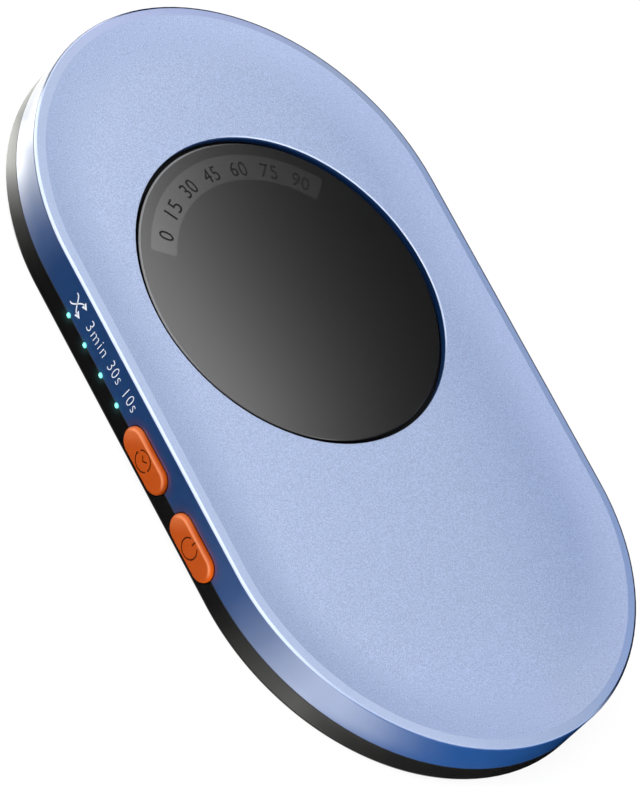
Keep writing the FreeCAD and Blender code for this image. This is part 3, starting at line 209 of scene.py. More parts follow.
# %% Rings of cards
CARD_TINT = (1.0, 1.0, 0.96)
WALL_CARDS = [
    (-180, 0.0), (-178.7, 0.002), (-176.7, 0.029), (-170, 0.10), (-162.6, 0.20), (-154, 0.41),
    (-145.7, 0.55), (-137, 0.54), (-129, 0.37), (-120, 0.14), (-112.6, 0.04), (-104, 0.0), (-60, 0.0),
    (30, 0.02), (95, 0.34), (112, 0.50), (120, 0.64), (128, 0.80), (133, 0.76), (138.8, 0.48), (147, 0.36),
    (155.3, 0.17), (163, 0.055), (172.3, 0.005), (177, 0.0), (180, 0.0),
]
TRAY_CARDS = [
    (-180, 0.002), (-176, 0.02), (-170, 0.07), (-160, 0.30), (-146, 0.68), (-138, 0.30), (-131, 0.13),
    (-120, 0.032), (-108, 0.008), (-88, 0.0), (-60, 0.0), (30, 0.02), (95, 0.20), (115, 0.30), (128, 0.38),
    (136, 0.75), (143, 1.0), (150, 0.55), (159, 0.18), (168, 0.05), (175, 0.01), (180, 0.002),
]


def fill_ramp(ramp, stops):
    """Sets a colour ramp to (place, colour) stops. Places come first, because moving a stop sorts them."""
    while len(ramp.elements) < len(stops):
        ramp.elements.new(0.5)
    for element, (place, _) in zip(ramp.elements, stops):
        element.position = place
    for element, (_, colour) in zip(ramp.elements, stops):
        element.color = (*colour, 1.0)


rings = []
for cards in (TRAY_CARDS, WALL_CARDS):
    rings.append(add("ValToRGB", {"Fac": turn}))
    stops = [((at + 180) / 360, [share * t for t in CARD_TINT]) for at, share in cards]
    fill_ramp(rings[-1].color_ramp, stops)
print("cards:", len(WALL_CARDS), "and", len(TRAY_CARDS))

# %% Table finish
CARD_LEVEL = 4.4
SHADOW_FADE = 0.84  # share of the table's own white, which keeps the shadow faint
SHADOW_EDGE, SHADOW_SOFT = 41.52 * MM, 0.08 * MM  # the painted shadow under the pad's edge ends this far from its centre line
SHADOW_LOST, SHADOW_FULL = 16 * MM, 6 * MM  # the painted shadow fades out this far round the far end

ring = add("Mix", {0: beyond, 6: rings[0], 7: rings[1]}, **RGBA)
card = add("Emission", {"Color": ring, "Strength": CARD_LEVEL})
# painted shadow: the table is darkened under the pad's edge, fading out round the far end
under_case_shadow = add("MapRange", mask(distance, SHADOW_EDGE + SHADOW_SOFT, SHADOW_EDGE - SHADOW_SOFT))
unlit = add("MapRange", mask(past, SHADOW_LOST, SHADOW_FULL))
gap = add("Math", {0: under_case_shadow, 1: unlit}, **TIMES)
pale, bright = (add("Mix", {0: gap, 6: t, 7: "101010"}, **RGBA) for t in ("F4F4F4", "FFFFFF"))
ray = add("LightPath").outputs
matt = add("BsdfDiffuse", {"Color": pale})
white = add("Emission", {"Color": bright, "Strength": 1.05})
share = add("Math", {0: ray["Is Camera Ray"], 1: SHADOW_FADE}, **TIMES)
plain = add("MixShader", {0: share, 1: matt, 2: white})
both = add("MixShader", {0: ray["Is Glossy Ray"], 1: plain, 2: card})
add("OutputMaterial", {"Surface": both})
print("card level:", CARD_LEVEL)

# %% [markdown]
# ## The overhead card
# A flat glossy disc shows only what it mirrors. Its soft change from grey to black is a large card overhead
# whose light falls off, seen in the disc. The same card lays the paler and deeper blue over the blasted
# top. It is bent back a little on both sides, as a sheet hung over a rail is.

# %% Overhead card
CARD_LOW, CARD_HIGH, CARD_HEIGHT = (-0.25, -0.45), (0.95, 0.70), 0.35
CARD_HIT = (0.333, 0.169, 0.0)  # where the camera sees it, mirrored in the middle of the disc
CARD_WAY = math.radians(187)
CARD_BEND, CARD_FLAT = 0.5, 0.03
CARD_LIGHT = [
    (-0.10, 0.0), (-0.01, 0.0), (0.01, 0.47), (0.03, 1.63), (0.05, 7.75), (0.08, 2.72), (0.12, 2.04),
    (0.18, 2.21), (0.26, 3.0), (0.60, 3.0),
]

fading, add, place = new_finish("fading_card")
sheet("overhead_card", CARD_LOW, CARD_HIGH, CARD_HEIGHT, fading)
local = add("VectorMath", {0: place, 1: CARD_HIT}, **MINUS)
toward = (math.cos(CARD_WAY), math.sin(CARD_WAY), 0.0)
way = add("VectorMath", {0: local, 1: toward}, **DOT)
across = add("VectorMath", {0: local, 1: (-toward[1], toward[0], 0.0)}, **DOT)
flat = add("Clamp", {"Value": across, "Min": -CARD_FLAT, "Max": CARD_FLAT})
bent = add("Math", {0: flat, 1: across}, **MINUS)
along = add("Math", {0: bent, 1: CARD_BEND, 2: way}, operation="MULTIPLY_ADD")
print("overhead card at", CARD_HEIGHT, "m")

# %% Overhead card's light
first, last = CARD_LIGHT[0][0], CARD_LIGHT[-1][0]
brightest = max(light for at, light in CARD_LIGHT)
span = add("MapRange", mask(along, first, last))
fade = add("ValToRGB", {"Fac": span})
stops = [((at - first) / (last - first), [light / brightest] * 3) for at, light in CARD_LIGHT]
fill_ramp(fade.color_ramp, stops)
shine = add("Emission", {"Color": fade, "Strength": brightest})
ray = add("LightPath").outputs
seen = add("MixShader", {0: ray["Is Glossy Ray"], 1: add("BsdfTransparent"), 2: shine})
add("OutputMaterial", {"Surface": seen})
print("brightest:", brightest)

# %% [markdown]
# ## The lamps
# Two softboxes give the pad its form: one from the left draws the light line along the top edge, one
# overhead fills. A low one in front brightens the near round end and hardly touches the top.

# %% Lamps
def softbox(name, place, size, power):
    """Square lamp that faces the pad."""
    data = bpy.data.lights.new(name, "AREA")
    data.size = size
    data.energy = power
    lamp = placed(name, data)
    turned = (-Vector(place)).to_track_quat("-Z", "Y").to_matrix().to_4x4()
    lamp.matrix_world = Matrix.Translation(place) @ turned
    return lamp


softbox("left_softbox", (-0.46, 0.20, 0.46), 0.36, 2.0)
softbox("overhead_softbox", (-0.20, 0.10, 1.00), 0.80, 3.0)
front = softbox("front_softbox", (-0.02, -0.65, 0.05), 0.08, 4.0)
front.visible_glossy = False

# %% [markdown]
# ## Finishes on the part
# Every finish is one Principled shader whose colour, roughness and bump come from patterns. The patterns
# read Object coordinates, which are metres on the part, so a grain size in millimetres is right at any
# zoom.

# %% Dressing the solids and sizing grains
def dress(material, *names):
    """Puts one finish on CAD nodes."""
    for name in names:
        nodes[name].data.materials.clear()
        nodes[name].data.materials.append(material)


def grain(place, size_mm, detail):
    """Inputs of a noise whose grains have a size."""
    return {"Vector": place, "Scale": 1 / (size_mm * MM), "Detail": detail}


print("a grain of 0.3 mm has a noise scale of", round(grain(None, 0.3, 0)["Scale"]))

# %% [markdown]
# ## Places on the cover
# The cover is milled aluminium with three finishes on one piece of metal, so one material carries them all,
# and its masks come from measured places: height tells the top from the wall, and the distance from the
# pad's centre line tells the rim's band from the dish.

# %% Measured places
cover_low, cover_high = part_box("top_cover")
disc_low, disc_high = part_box("turntable_disc")
DISC_CENTRE = Vector(((disc_low.x + disc_high.x) / 2, (disc_low.y + disc_high.y) / 2, disc_high.z))
DISC_RADIUS = (disc_high.x - disc_low.x) / 2
HOLE_RADIUS = 30.2 * MM
HALF_WIDTH = cover_high.x
CREST = cover_high.z
BAND_WIDTH = 1.85 * MM
EDGE_WIDTH = 0.42 * MM  # milled edge between band and wall
WALL_TOP = CREST - 0.68 * MM  # where the wall's painted deep blue ends
SEAM = cover_low.z
LAMP_FIRST, LAMP_STEP, LAMP_COUNT = 22.7 * MM, -5.87 * MM, 4
LAMP_HEIGHT = 4.15 * MM
print("crest", round(CREST / MM, 2), "wall dye up to", round(WALL_TOP / MM, 2))
print("disc centre in mm:", [round(c / MM, 2) for c in DISC_CENTRE], "radius", round(DISC_RADIUS / MM, 2))

# %% Lamp light pattern
def lamp_light(add, place, reach_mm):
    """1 at each lamp on the left wall, falling off round it."""
    parts = add("SeparateXYZ", {0: place}).outputs
    shifted = add("Math", {0: parts["Y"], 1: LAMP_FIRST}, **MINUS)
    steps = add("Math", {0: shifted, 1: LAMP_STEP}, operation="DIVIDE")
    whole = add("Math", {0: steps}, operation="ROUND")
    nearest = add("Clamp", {"Value": whole, "Min": 0.0, "Max": LAMP_COUNT - 1.0})
    lamp_y = add("Math", {0: nearest, 1: LAMP_STEP, 2: LAMP_FIRST}, operation="MULTIPLY_ADD")
    here = add("CombineXYZ", {"Y": parts["Y"], "Z": parts["Z"]})
    lamp = add("CombineXYZ", {"Y": lamp_y, "Z": LAMP_HEIGHT})
    away = add("VectorMath", {0: here, 1: lamp}, operation="DISTANCE")
    spans = add("Math", {0: away, 1: reach_mm * MM}, operation="DIVIDE")
    squared = add("Math", {0: spans, 1: 2.0}, operation="POWER")
    bell = add("Math", {0: 0.25, 1: squared}, operation="POWER")  # a quarter at one reach
    left = add("MapRange", mask(parts["X"], -HALF_WIDTH + 0.3 * MM, -HALF_WIDTH + 0.2 * MM))
    return add("Math", {0: bell, 1: left}, **TIMES)


print("lamps", LAMP_COUNT, "spaced by", abs(round(LAMP_STEP / MM, 2)), "mm")

# %% Distance to the keys
KEYS = ("timer_button", "power_button")
KEY_MIDDLES = [(low + high) / 2 for low, high in map(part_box, KEYS)]
KEY_WIDTH, KEY_LENGTH = 5.35 * MM, 12.5 * MM  # without the ears inside the wall, which a node's box includes
KEY_ROUND = KEY_WIDTH / 2
KEY_STRAIGHT = KEY_LENGTH / 2 - KEY_ROUND  # half the straight part


def key_distance(add, parts):
    """How far a place on the left wall is outside the nearer key's outline."""
    gaps = []
    for middle in KEY_MIDDLES:
        y = add("Math", {0: parts["Y"], 1: middle.y}, **MINUS)
        straight = add("Clamp", {"Value": y, "Min": -KEY_STRAIGHT, "Max": KEY_STRAIGHT})
        beyond = add("Math", {0: y, 1: straight}, **MINUS)
        up = add("Math", {0: parts["Z"], 1: middle.z}, **MINUS)
        way = add("CombineXYZ", {"X": beyond, "Y": up})
        out = add("VectorMath", {0: way}, operation="LENGTH")
        gaps.append(add("Math", {0: out, 1: KEY_ROUND}, **MINUS))
    nearest = add("Math", {0: gaps[0], 1: gaps[1]}, operation="MINIMUM")
    off_wall = add("MapRange", mask(parts["X"], -HALF_WIDTH + 0.1 * MM, -HALF_WIDTH + 3 * MM))
    return add("Math", {0: nearest, 1: off_wall}, operation="ADD")


print("keys round", round(KEY_ROUND / MM, 2), "straight", round(2 * KEY_STRAIGHT / MM, 2), "mm")

# %% Way round the disc
def round_disc(add, place):
    """Distance from the disc's centre, and the level direction away from it."""
    away = add("VectorMath", {0: place, 1: DISC_CENTRE}, **MINUS)
    level = add("VectorMath", {0: away, 1: (1, 1, 0)}, **TIMES)
    return [add("VectorMath", {0: level}, operation=what) for what in ("LENGTH", "NORMALIZE")]


print("gap round the disc in mm:", round((HOLE_RADIUS - DISC_RADIUS) / MM, 2))

# %% [markdown]
# ## The anodised cover
# The cover is blasted with fine beads and dyed pale blue, which leaves the dish an even, fine grain. The
# band round it is turned smoother. The outer wall is polished under a clear oxide film, which acts as a
# coat of varnish. It is painted a deep blue, far darker than the top, as painted shade for the dark
# surroundings that the same metal would mirror, and painted lighter at its round ends, as painted light.
# A painted cyan glow round each lamp stands in for their light on the wall, and a painted orange bounce
# tints the wall beside the keys, where painted shade darkens each key's slot. A milled edge between top
# and wall is painted pale on the left, as a paler cut edge and a painted highlight. On the side away from
# the lamps the same edge is painted dark, as shade. The hole has such an edge too: a painted highlight on
# the right, over a wall painted darkest there, as shade. The top is painted darker to its right, lighter
# on its band and darker on the dish's slope at the far end, and a little lighter at the near end, as
# painted light and shade. Finally, thin matt lines run along the seam and, at the far end, under the
# milled edge; the seam line is a dark joint, and the line under the edge is painted shade.

# %% Masks on the cover
SHADED_EDGE_WAY = (0.956, 0.292, 0.0)  # level directions, out from the pad's centre line
FAR_WAY = (0.5, 0.87, 0.0)

cover, add, place = new_finish("anodised_aluminium_cover")
parts, along, past, out = round_pad(add, place)
distance = add("VectorMath", {0: out}, operation="LENGTH")
outward = add("VectorMath", {0: out}, operation="NORMALIZE")
# painted shade: on the side away from the lamps the milled edge is painted dark navy
facing_away = add("VectorMath", {0: outward, 1: SHADED_EDGE_WAY}, **DOT)
far_side = add("MapRange", mask(facing_away, 0.0, 0.3), **SMOOTH)
rim = add("MapRange", mask(distance, HALF_WIDTH - 0.50 * MM, HALF_WIDTH - EDGE_WIDTH), **SMOOTH)
high_up = add("MapRange", mask(parts["Z"], CREST - 0.62 * MM, CREST - 0.52 * MM), **SMOOTH)
far_way = add("VectorMath", {0: outward, 1: FAR_WAY}, **DOT)
tip = add("MapRange", mask(far_way, 0.2, 0.35, 0.0, 0.7), **SMOOTH)
thin_rim = mask(distance, HALF_WIDTH - 0.22 * MM, HALF_WIDTH - 0.13 * MM, 0.0, tip)
thin_rim = add("MapRange", thin_rim, **SMOOTH)
wide_rim = add("Math", {0: far_side, 1: rim}, **TIMES)
far_rim = add("Math", {0: wide_rim, 1: thin_rim}, **LARGER)
shaded_edge = add("Math", {0: far_rim, 1: high_up}, **TIMES)
near_end = add("MapRange", mask(parts["Y"], -36 * MM, -66 * MM), **SMOOTH)
inner = add("MapRange", mask(distance, HALF_WIDTH - 0.6 * MM, HALF_WIDTH - 0.9 * MM), **SMOOTH)
rim_top = add("MapRange", mask(near_end, 0, 1, WALL_TOP, WALL_TOP + 0.42 * MM))
wall_paint_top = add("MapRange", mask(inner, 0, 1, rim_top, WALL_TOP - 0.03 * MM))
over_wall_paint = add("Math", {0: parts["Z"], 1: wall_paint_top}, **MINUS)
light_top = add("MapRange", mask(over_wall_paint, -0.04 * MM, 0.04 * MM), **SMOOTH)
not_edge = add("Math", {0: 1.0, 1: far_rim}, **MINUS)
on_top = add("Math", {0: light_top, 1: not_edge}, **TIMES)
dish_start = HALF_WIDTH - BAND_WIDTH
in_dish = add("MapRange", mask(distance, dish_start + 0.02 * MM, dish_start - 0.1 * MM), **SMOOTH)
# The milled edge is painted pale, as a paler cut edge and a painted highlight, fading out at the near end.
on_edge = add("MapRange", mask(distance, HALF_WIDTH - EDGE_WIDTH, HALF_WIDTH - 0.18 * MM), **SMOOTH)
near_tip = add("MapRange", mask(parts["Y"], -61 * MM, -38 * MM), **SMOOTH)
cut_edge_and_highlight = add("Math", {0: on_edge, 1: near_tip}, **TIMES)
print("mask nodes:", len(cover.node_tree.nodes))

# %% Masks round the hole
HOLE_HIGHLIGHT_WAY = (0.906, 0.423, 0.0)  # level directions, out from the disc's centre
SHADED_WALL_WAY = (0.87, 0.5, 0.0)

# painted highlight: the hole's edge is painted light on its right side only
radius, spoke = round_disc(add, place)
facing = add("VectorMath", {0: spoke, 1: HOLE_HIGHLIGHT_WAY}, **DOT)
turned_far = add("MapRange", mask(facing, 0.4, 0.7), **SMOOTH)
at_hole = add("MapRange", mask(radius, HOLE_RADIUS + 0.34 * MM, HOLE_RADIUS + 0.24 * MM), **SMOOTH)
hole_highlight = add("Math", {0: at_hole, 1: turned_far}, **TIMES)
# painted shade: the hole's wall is painted darker on its right side
in_hole = add("MapRange", mask(radius, HOLE_RADIUS + 0.23 * MM, HOLE_RADIUS + 0.16 * MM))
right_hole = add("VectorMath", {0: spoke, 1: SHADED_WALL_WAY}, **DOT)
hole_shade_share = add("MapRange", mask(right_hole, 0.4, 0.8, 0.0, 0.7))
hole_wall_shade = add("Math", {0: in_hole, 1: hole_shade_share}, **TIMES)
cut_edges_and_highlights = add("Math", {0: cut_edge_and_highlight, 1: hole_highlight}, **LARGER)
print("mask nodes with the hole:", len(cover.node_tree.nodes))

# %% Colours of the top
SHADE_WAY = (0.99, -0.12, 0.0)  # the top is painted darker towards this side, as shade

# Pits from blasting are finer than 0.1 mm. They are drawn coarser, so that they show.
fine = add("TexNoise", grain(place, 0.17, 2.0))
sparkle = add("MapRange", mask(fine, 0.38, 0.62), **SMOOTH)
blasted = add("Mix", {0: sparkle, 6: "8292B4", 7: "9BACD1"}, **RGBA)
band = add("Mix", {0: sparkle, 6: "8695B7", 7: "8FA0C2"}, **RGBA)
flat_top = add("Mix", {0: in_dish, 6: band, 7: blasted}, **RGBA)
# pale colour for the cut edges and the painted highlights
with_highlights = add("Mix", {0: cut_edges_and_highlights, 6: flat_top, 7: "C8D6F0"}, **RGBA)
# painted light and shade on the top: darker to the right, lighter on the band and darker on the dish's slope
# at the far end, and a little lighter in the dish at the near end
slanted = add("VectorMath", {0: place, 1: SHADE_WAY}, **DOT)
lift = add("MapRange", mask(in_dish, 0, 1, 0.0, -0.05))
near_end_light = add("MapRange", mask(parts["Y"], -42 * MM, -66 * MM, 0.0, lift), **SMOOTH)
right_shade = add("MapRange", mask(slanted, 10 * MM, 46 * MM, near_end_light, 0.22), **SMOOTH)
far_end = add("MapRange", mask(far_way, 0.2, 0.9), **SMOOTH)
far_slope_shade = add("MapRange", mask(distance, 29 * MM, 37 * MM, 0.0, 0.08), **SMOOTH)
far_shading = add("MapRange", mask(in_dish, 0, 1, -0.12, far_slope_shade))
painted_shading = add("Math", {0: far_end, 1: far_shading, 2: right_shade}, operation="MULTIPLY_ADD")
green = add("MapRange", mask(in_dish, 0, 1, 0.52, 0.82))
rim_blue = add("MapRange", mask(painted_shading, -0.1, 0.1, 1.2, -0.2))
dish_blue = add("MapRange", mask(painted_shading, -0.05, 0.03, 1.6, 0.42))
blue = add("MapRange", mask(in_dish, 0, 1, rim_blue, dish_blue))
share = add("CombineXYZ", {"X": 1.0, "Y": green, "Z": blue})  # the painted shade takes red away most, so it turns bluer
lost = add("VectorMath", {0: share, "Scale": painted_shading}, operation="SCALE")
kept = add("VectorMath", {0: (1, 1, 1), 1: lost}, **MINUS)
top_colour = add("VectorMath", {0: with_highlights, 1: kept}, **TIMES)
print("with the top's colours:", len(cover.node_tree.nodes))

# %% Colours of the wall
# The wall's deep blue is painted shade for the dark surroundings the metal would mirror; it is painted
# lighter towards both round ends, as painted light.
to_far_end = add("MapRange", mask(past, 0.0, 9 * MM))
to_near_end = add("MapRange", mask(parts["Y"], -16 * MM, -33 * MM))
end_light = add("Math", {0: to_far_end, 1: to_near_end}, **LARGER)
wall = add("Mix", {0: end_light, 6: "143C6F", 7: "1A4680"}, **RGBA)
gap = key_distance(add, parts)
# painted reflection: an orange bounce from the keys tints the wall beside them
key_bounce = add("MapRange", mask(gap, 1.8 * MM, 0.1 * MM, 0.0, 0.3))
key_bounce_tinted = add("Mix", {0: key_bounce, 6: wall, 7: "5E3450"}, **RGBA)
# painted shade: a dark line round each key's slot
key_slot_shade = add("MapRange", mask(gap, 0.20 * MM, 0.06 * MM))
seam = add("MapRange", mask(parts["Z"], SEAM + 0.16 * MM, SEAM + 0.08 * MM))
# painted shade: a dark line under the milled edge at the far end; the seam line is a dark joint
far_end_wall = add("MapRange", mask(past, 0.0, 5 * MM))
below_top = add("MapRange", mask(light_top, 0, 1, far_end_wall, 0.0))
under_edge_shade = add("MapRange", mask(over_wall_paint, -0.27 * MM, -0.20 * MM, 0.0, below_top))
seam_and_edge_shade = add("Math", {0: under_edge_shade, 1: seam}, **LARGER)
seams_and_shade_lines = add("Math", {0: key_slot_shade, 1: seam_and_edge_shade}, **LARGER)
seams_and_painted_shade = add("Math", {0: seams_and_shade_lines, 1: hole_wall_shade}, **LARGER)
walls = add("Mix", {0: seams_and_painted_shade, 6: key_bounce_tinted, 7: "0D2044"}, **RGBA)
wall_and_top = add("Mix", {0: on_top, 6: walls, 7: top_colour}, **RGBA)
# the painted shade on the far milled edge
colour = add("Mix", {0: shaded_edge, 6: wall_and_top, 7: "0A1A38"}, **RGBA)
print("with the wall's colours:", len(cover.node_tree.nodes))

# %% Cover finish
gloss = add("MapRange", mask(on_top, 0, 1, 0.28, 0.34))
edge_gloss = add("MapRange", mask(shaded_edge, 0, 1, gloss, 0.85))
roughness = add("MapRange", mask(seam_and_edge_shade, 0, 1, edge_gloss, 0.9))
covered = add("Math", {0: on_top, 1: shaded_edge}, **LARGER)
covered = add("Math", {0: covered, 1: seams_and_shade_lines}, **LARGER)
coated = add("Math", {0: 1.0, 1: covered}, **MINUS)
# painted light: a cyan glow round each lamp on the cover stands in for their light on the wall
painted_lamp_spill = add("Math", {0: lamp_light(add, place, 1.1), 1: 0.09}, **TIMES)
beads = add("Math", {0: in_dish, 1: on_top}, **TIMES)
pits = add("Math", {0: fine, 1: beads}, **TIMES)
surface = add("BsdfPrincipled", {
    "Base Color": colour, "Roughness": roughness, "Metallic": shaded_edge, "IOR": 1.77,
    "Coat Weight": coated, "Coat Roughness": 0.08, "Coat IOR": 1.77,
    "Emission Color": "3FD8D0", "Emission Strength": painted_lamp_spill,
    "Normal": add("Bump", {"Height": pits, "Distance": 0.008 * MM}),
})
add("OutputMaterial", {"Surface": surface})
dress(cover, "top_cover")
print("cover finish nodes:", len(cover.node_tree.nodes))

# %% [markdown]
# ## The black lower shell
# The tray under the seam is black moulded plastic: smooth at the sides, with the fine spark-eroded grain of
# its mould on the underside and the round that leads to it, so that scratches don't show there.

# %% Lower shell finish
tray, add, place = new_finish("black_moulded_tray")
parts = add("SeparateXYZ", {0: place}).outputs
underside = add("MapRange", mask(parts["Z"], 0.95 * MM, 0.75 * MM), **SMOOTH)
mould = add("TexNoise", grain(place, 0.25, 3.0))
relief = add("Math", {0: mould, 1: underside}, **TIMES)
# painted light: a faint cyan glow round each lamp on the tray
painted_lamp_spill = add("Math", {0: lamp_light(add, place, 1.3), 1: 0.05}, **TIMES)
seam = add("MapRange", mask(parts["Z"], SEAM - 0.12 * MM, SEAM - 0.06 * MM))
worn = add("Math", {0: underside, 1: seam}, **LARGER)
surface = add("BsdfPrincipled", {
    "Base Color": add("Mix", {0: mould, 6: "0D0D0D", 7: "131313"}, **RGBA),
    "Roughness": add("MapRange", mask(worn, 0, 1, 0.22, 0.6)), "Specular IOR Level": 0.3,
    "Emission Color": "7FE0DA", "Emission Strength": painted_lamp_spill,
    "Normal": add("Bump", {"Height": relief, "Distance": 0.03 * MM}),
})
add("OutputMaterial", {"Surface": surface})
dress(tray, "bottom_cover")
print("lower shell dressed")

# %% [markdown]
# ## Shapes made of rings
# Screws, feet and lamp lenses are turned shapes. A loft skins a list of rings, which makes turned shapes
# and also shapes whose rings change outline, such as a screw's six-lobed recess.

# %% Ring and mesh helpers
RING_POINTS = 48


def circle(radius, height, lobes=0, swing=0.0):
    """Ring of points in millimetres at a height, waved when it has lobes."""
    points = []
    for index in range(RING_POINTS):
        turn = 2 * math.pi * index / RING_POINTS
        reach = radius * (1 + swing * math.cos(lobes * turn)) * MM
        points.append((reach * math.cos(turn), reach * math.sin(turn), height * MM))
    return points


def finished_mesh(name, shape):
    """Mesh with outward faces, smooth except over sharp edges."""
    bmesh.ops.recalc_face_normals(shape, faces=shape.faces)
    mesh = bpy.data.meshes.new(name)
    shape.to_mesh(mesh)
    shape.free()
    mesh.shade_smooth()
    mesh.set_sharp_from_angle(angle=math.radians(35))
    return mesh


print("points per ring:", RING_POINTS)

# %% Skin and loft helpers
def close_skin(shape, rows):
    """Closes rows of corners into a skin with filled ends."""
    for low, high in zip(rows, rows[1:]):
        for index in range(len(low)):
            after = (index + 1) % len(low)
            shape.faces.new((low[index], low[after], high[after], high[index]))
    shape.faces.new(rows[0])
    shape.faces.new(rows[-1])


def loft(name, rings):
    """Mesh with a closed skin over rings."""
    shape = bmesh.new()
    close_skin(shape, [[shape.verts.new(point) for point in points] for points in rings])
    return finished_mesh(name, shape)


print("a loft of 3 rings has", 2 * RING_POINTS + 2, "faces")

# %% [markdown]
# ## Repeating with Geometry Nodes
# Screws and feet stand at the corners of a rectangle, lamps and contacts in a row. Two small trees put
# copies of a shape there. Each has named inputs, and ends by making the copies real and giving them their
# material. The result is then kept as a plain mesh.

# %% Tree helpers
def new_layout(name, **sizes):
    """Starts a tree with inputs for the shape, its material and some sizes."""
    layout = bpy.data.node_groups.new(name, "GeometryNodeTree")
    layout.interface.new_socket("Geometry", in_out="OUTPUT", socket_type="NodeSocketGeometry")
    for label, kind in {"Shape": "Object", "Material": "Material", **sizes}.items():
        layout.interface.new_socket(label, in_out="INPUT", socket_type="NodeSocket" + kind)
    add = partial(add_node, layout)
    return layout, add, add("NodeGroupInput").outputs


def end_layout(layout, add, given, points):
    """Puts the shape on points, makes the copies real and gives them the material."""
    shape = add("GeometryNodeObjectInfo", {"Object": given["Shape"]}).outputs["Geometry"]
    copies = add("GeometryNodeInstanceOnPoints", {"Points": points, "Instance": shape})
    real = add("GeometryNodeRealizeInstances", {0: copies})
    finish = add("GeometryNodeSetMaterial", {"Geometry": real, "Material": given["Material"]})
    add("NodeGroupOutput", {0: finish})
    print(layout.name, "nodes:", len(layout.nodes))
    return layout

# %% Running a tree
def laid_out(name, layout, mesh, material, **sizes):
    """Runs a tree with a mesh as its shape and gives back a plain object."""
    shape = placed(name + "_shape", mesh)
    piece = placed(name, bpy.data.meshes.new(name))
    spread = piece.modifiers.new("layout", "NODES")
    spread.node_group = layout
    values = {"Shape": shape, "Material": material, **sizes}
    for socket in layout.interface.items_tree:
        if socket.in_out == "INPUT":
            spread[socket.identifier] = values[socket.name]
    graph = bpy.context.evaluated_depsgraph_get()
    piece.data = bpy.data.meshes.new_from_object(piece.evaluated_get(graph))
    piece.modifiers.clear()
    bpy.data.objects.remove(shape)
    print(name, "faces:", len(piece.data.polygons))
    return piece

# %% Corner tree
at_corners, add, given = new_layout("at_corners", Width="Float", Length="Float", Height="Float")
sheet = {"Size X": given["Width"], "Size Y": given["Length"], "Vertices X": 2, "Vertices Y": 2}
sheet = add("GeometryNodeMeshGrid", sheet)
lift = add("CombineXYZ", {"Z": given["Height"]})
lifted = add("GeometryNodeSetPosition", {"Geometry": sheet, "Offset": lift})
at_corners = end_layout(at_corners, add, given, lifted)

# %% Row tree
in_a_row, add, given = new_layout("in_a_row", Count="Int", Start="Vector", Step="Vector")
dots = add("GeometryNodePoints", {"Count": given["Count"]})
number = add("GeometryNodeInputIndex")
shift = add("VectorMath", {0: given["Step"], "Scale": number}, operation="SCALE")
spot = add("VectorMath", {0: given["Start"], 1: shift}, operation="ADD")
moved = add("GeometryNodeSetPosition", {"Geometry": dots, "Position": spot})
in_a_row = end_layout(in_a_row, add, given, moved)

# %% [markdown]
# ## Plain and patterned finishes
# Most small pieces need a base colour that wanders a little, a roughness and a slight relief. One helper
# makes them, and the pieces that need more get their own cells.

# %% Mottled finish helper
def mottled(name, pale, deep, grain_mm, roughness, metallic=0.0, relief_mm=0.004, shine=0.5):
    """Finish whose colour wanders between two tones over grains of a size."""
    material, add, place = new_finish(name)
    pattern = add("TexNoise", grain(place, grain_mm, 3.0))
    surface = add("BsdfPrincipled", {
        "Base Color": add("Mix", {0: pattern, 6: deep, 7: pale}, **RGBA),
        "Roughness": add("MapRange", mask(pattern, 0.2, 0.8, roughness * 0.85, roughness * 1.15)),
        "Metallic": metallic, "Specular IOR Level": shine,
        "Normal": add("Bump", {"Height": pattern, "Distance": relief_mm * MM}),
    })
    add("OutputMaterial", {"Surface": surface})
    return material


# Rubber is dull all over, plated steel has a soft grey shine, and printing ink is flat and a little uneven.
rubber = mottled("black_rubber", "232323", "191919", 0.4, 0.8, relief_mm=0.03)
zinc = mottled("zinc_plated_steel", "A9ABAE", "8E9296", 0.6, 0.35, 1.0)
ink_white = mottled("white_printing_ink", "E6EAF0", "D8DEE8", 0.2, 0.5)
ink_dark = mottled("dark_printing_ink", "1C1C1C", "151515", 0.2, 0.7, shine=0.1)
print("finishes so far:", len(bpy.data.materials))

# %% [markdown]
# ## Feet and case screws
# Four soft feet with two grooves each hold the pad off the desk. Four screws with six-lobed recesses close
# the case from below. Both replace plainer solids.

# %% Feet
FOOT = 6.5
FEET_ACROSS, FEET_ALONG = 40 * MM, 108 * MM
foot_profile = [
    (0.8, 0.0), (2.0, 0.0), (2.15, 0.12), (2.6, 0.12), (2.75, 0.0), (4.2, 0.0), (4.35, 0.12), (4.8, 0.12),
    (4.95, 0.0), (FOOT - 0.25, 0.0), (FOOT - 0.07, 0.07), (FOOT, 0.25), (FOOT, 0.9),
]
foot = loft("foot", [circle(radius, height) for radius, height in foot_profile])
feet = laid_out("grooved_feet", at_corners, foot, rubber, Width=FEET_ACROSS, Length=FEET_ALONG, Height=0.0)
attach(feet, "case")
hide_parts("rubber_feet")

# %% Case screws
HEAD_HEIGHT = 1.1
SCREWS_ACROSS, SCREWS_ALONG = 67 * MM, 85 * MM
screw_rings = [circle(0.72, -0.45, 6, 0.14), circle(0.78, -HEAD_HEIGHT, 6, 0.14)]
head_profile = [(1.35, -HEAD_HEIGHT), (1.7, -0.98), (1.86, -0.7), (1.9, -0.4), (1.9, 0.0), (0.99, 0.0)]
thread_profile = [(0.99 if index % 2 else 0.84, 0.1 + 0.2 * index) for index in range(24)] + [(0.5, 5.0)]
screw_rings += [circle(radius, height) for radius, height in head_profile + thread_profile]
head_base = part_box("case_screws")[0].z + HEAD_HEIGHT * MM
screw = loft("case_screw", screw_rings)
spread = {"Width": SCREWS_ACROSS, "Length": SCREWS_ALONG, "Height": head_base}
screws = laid_out("lobed_case_screws", at_corners, screw, zinc, **spread)
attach(screws, "case")
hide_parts("case_screws")

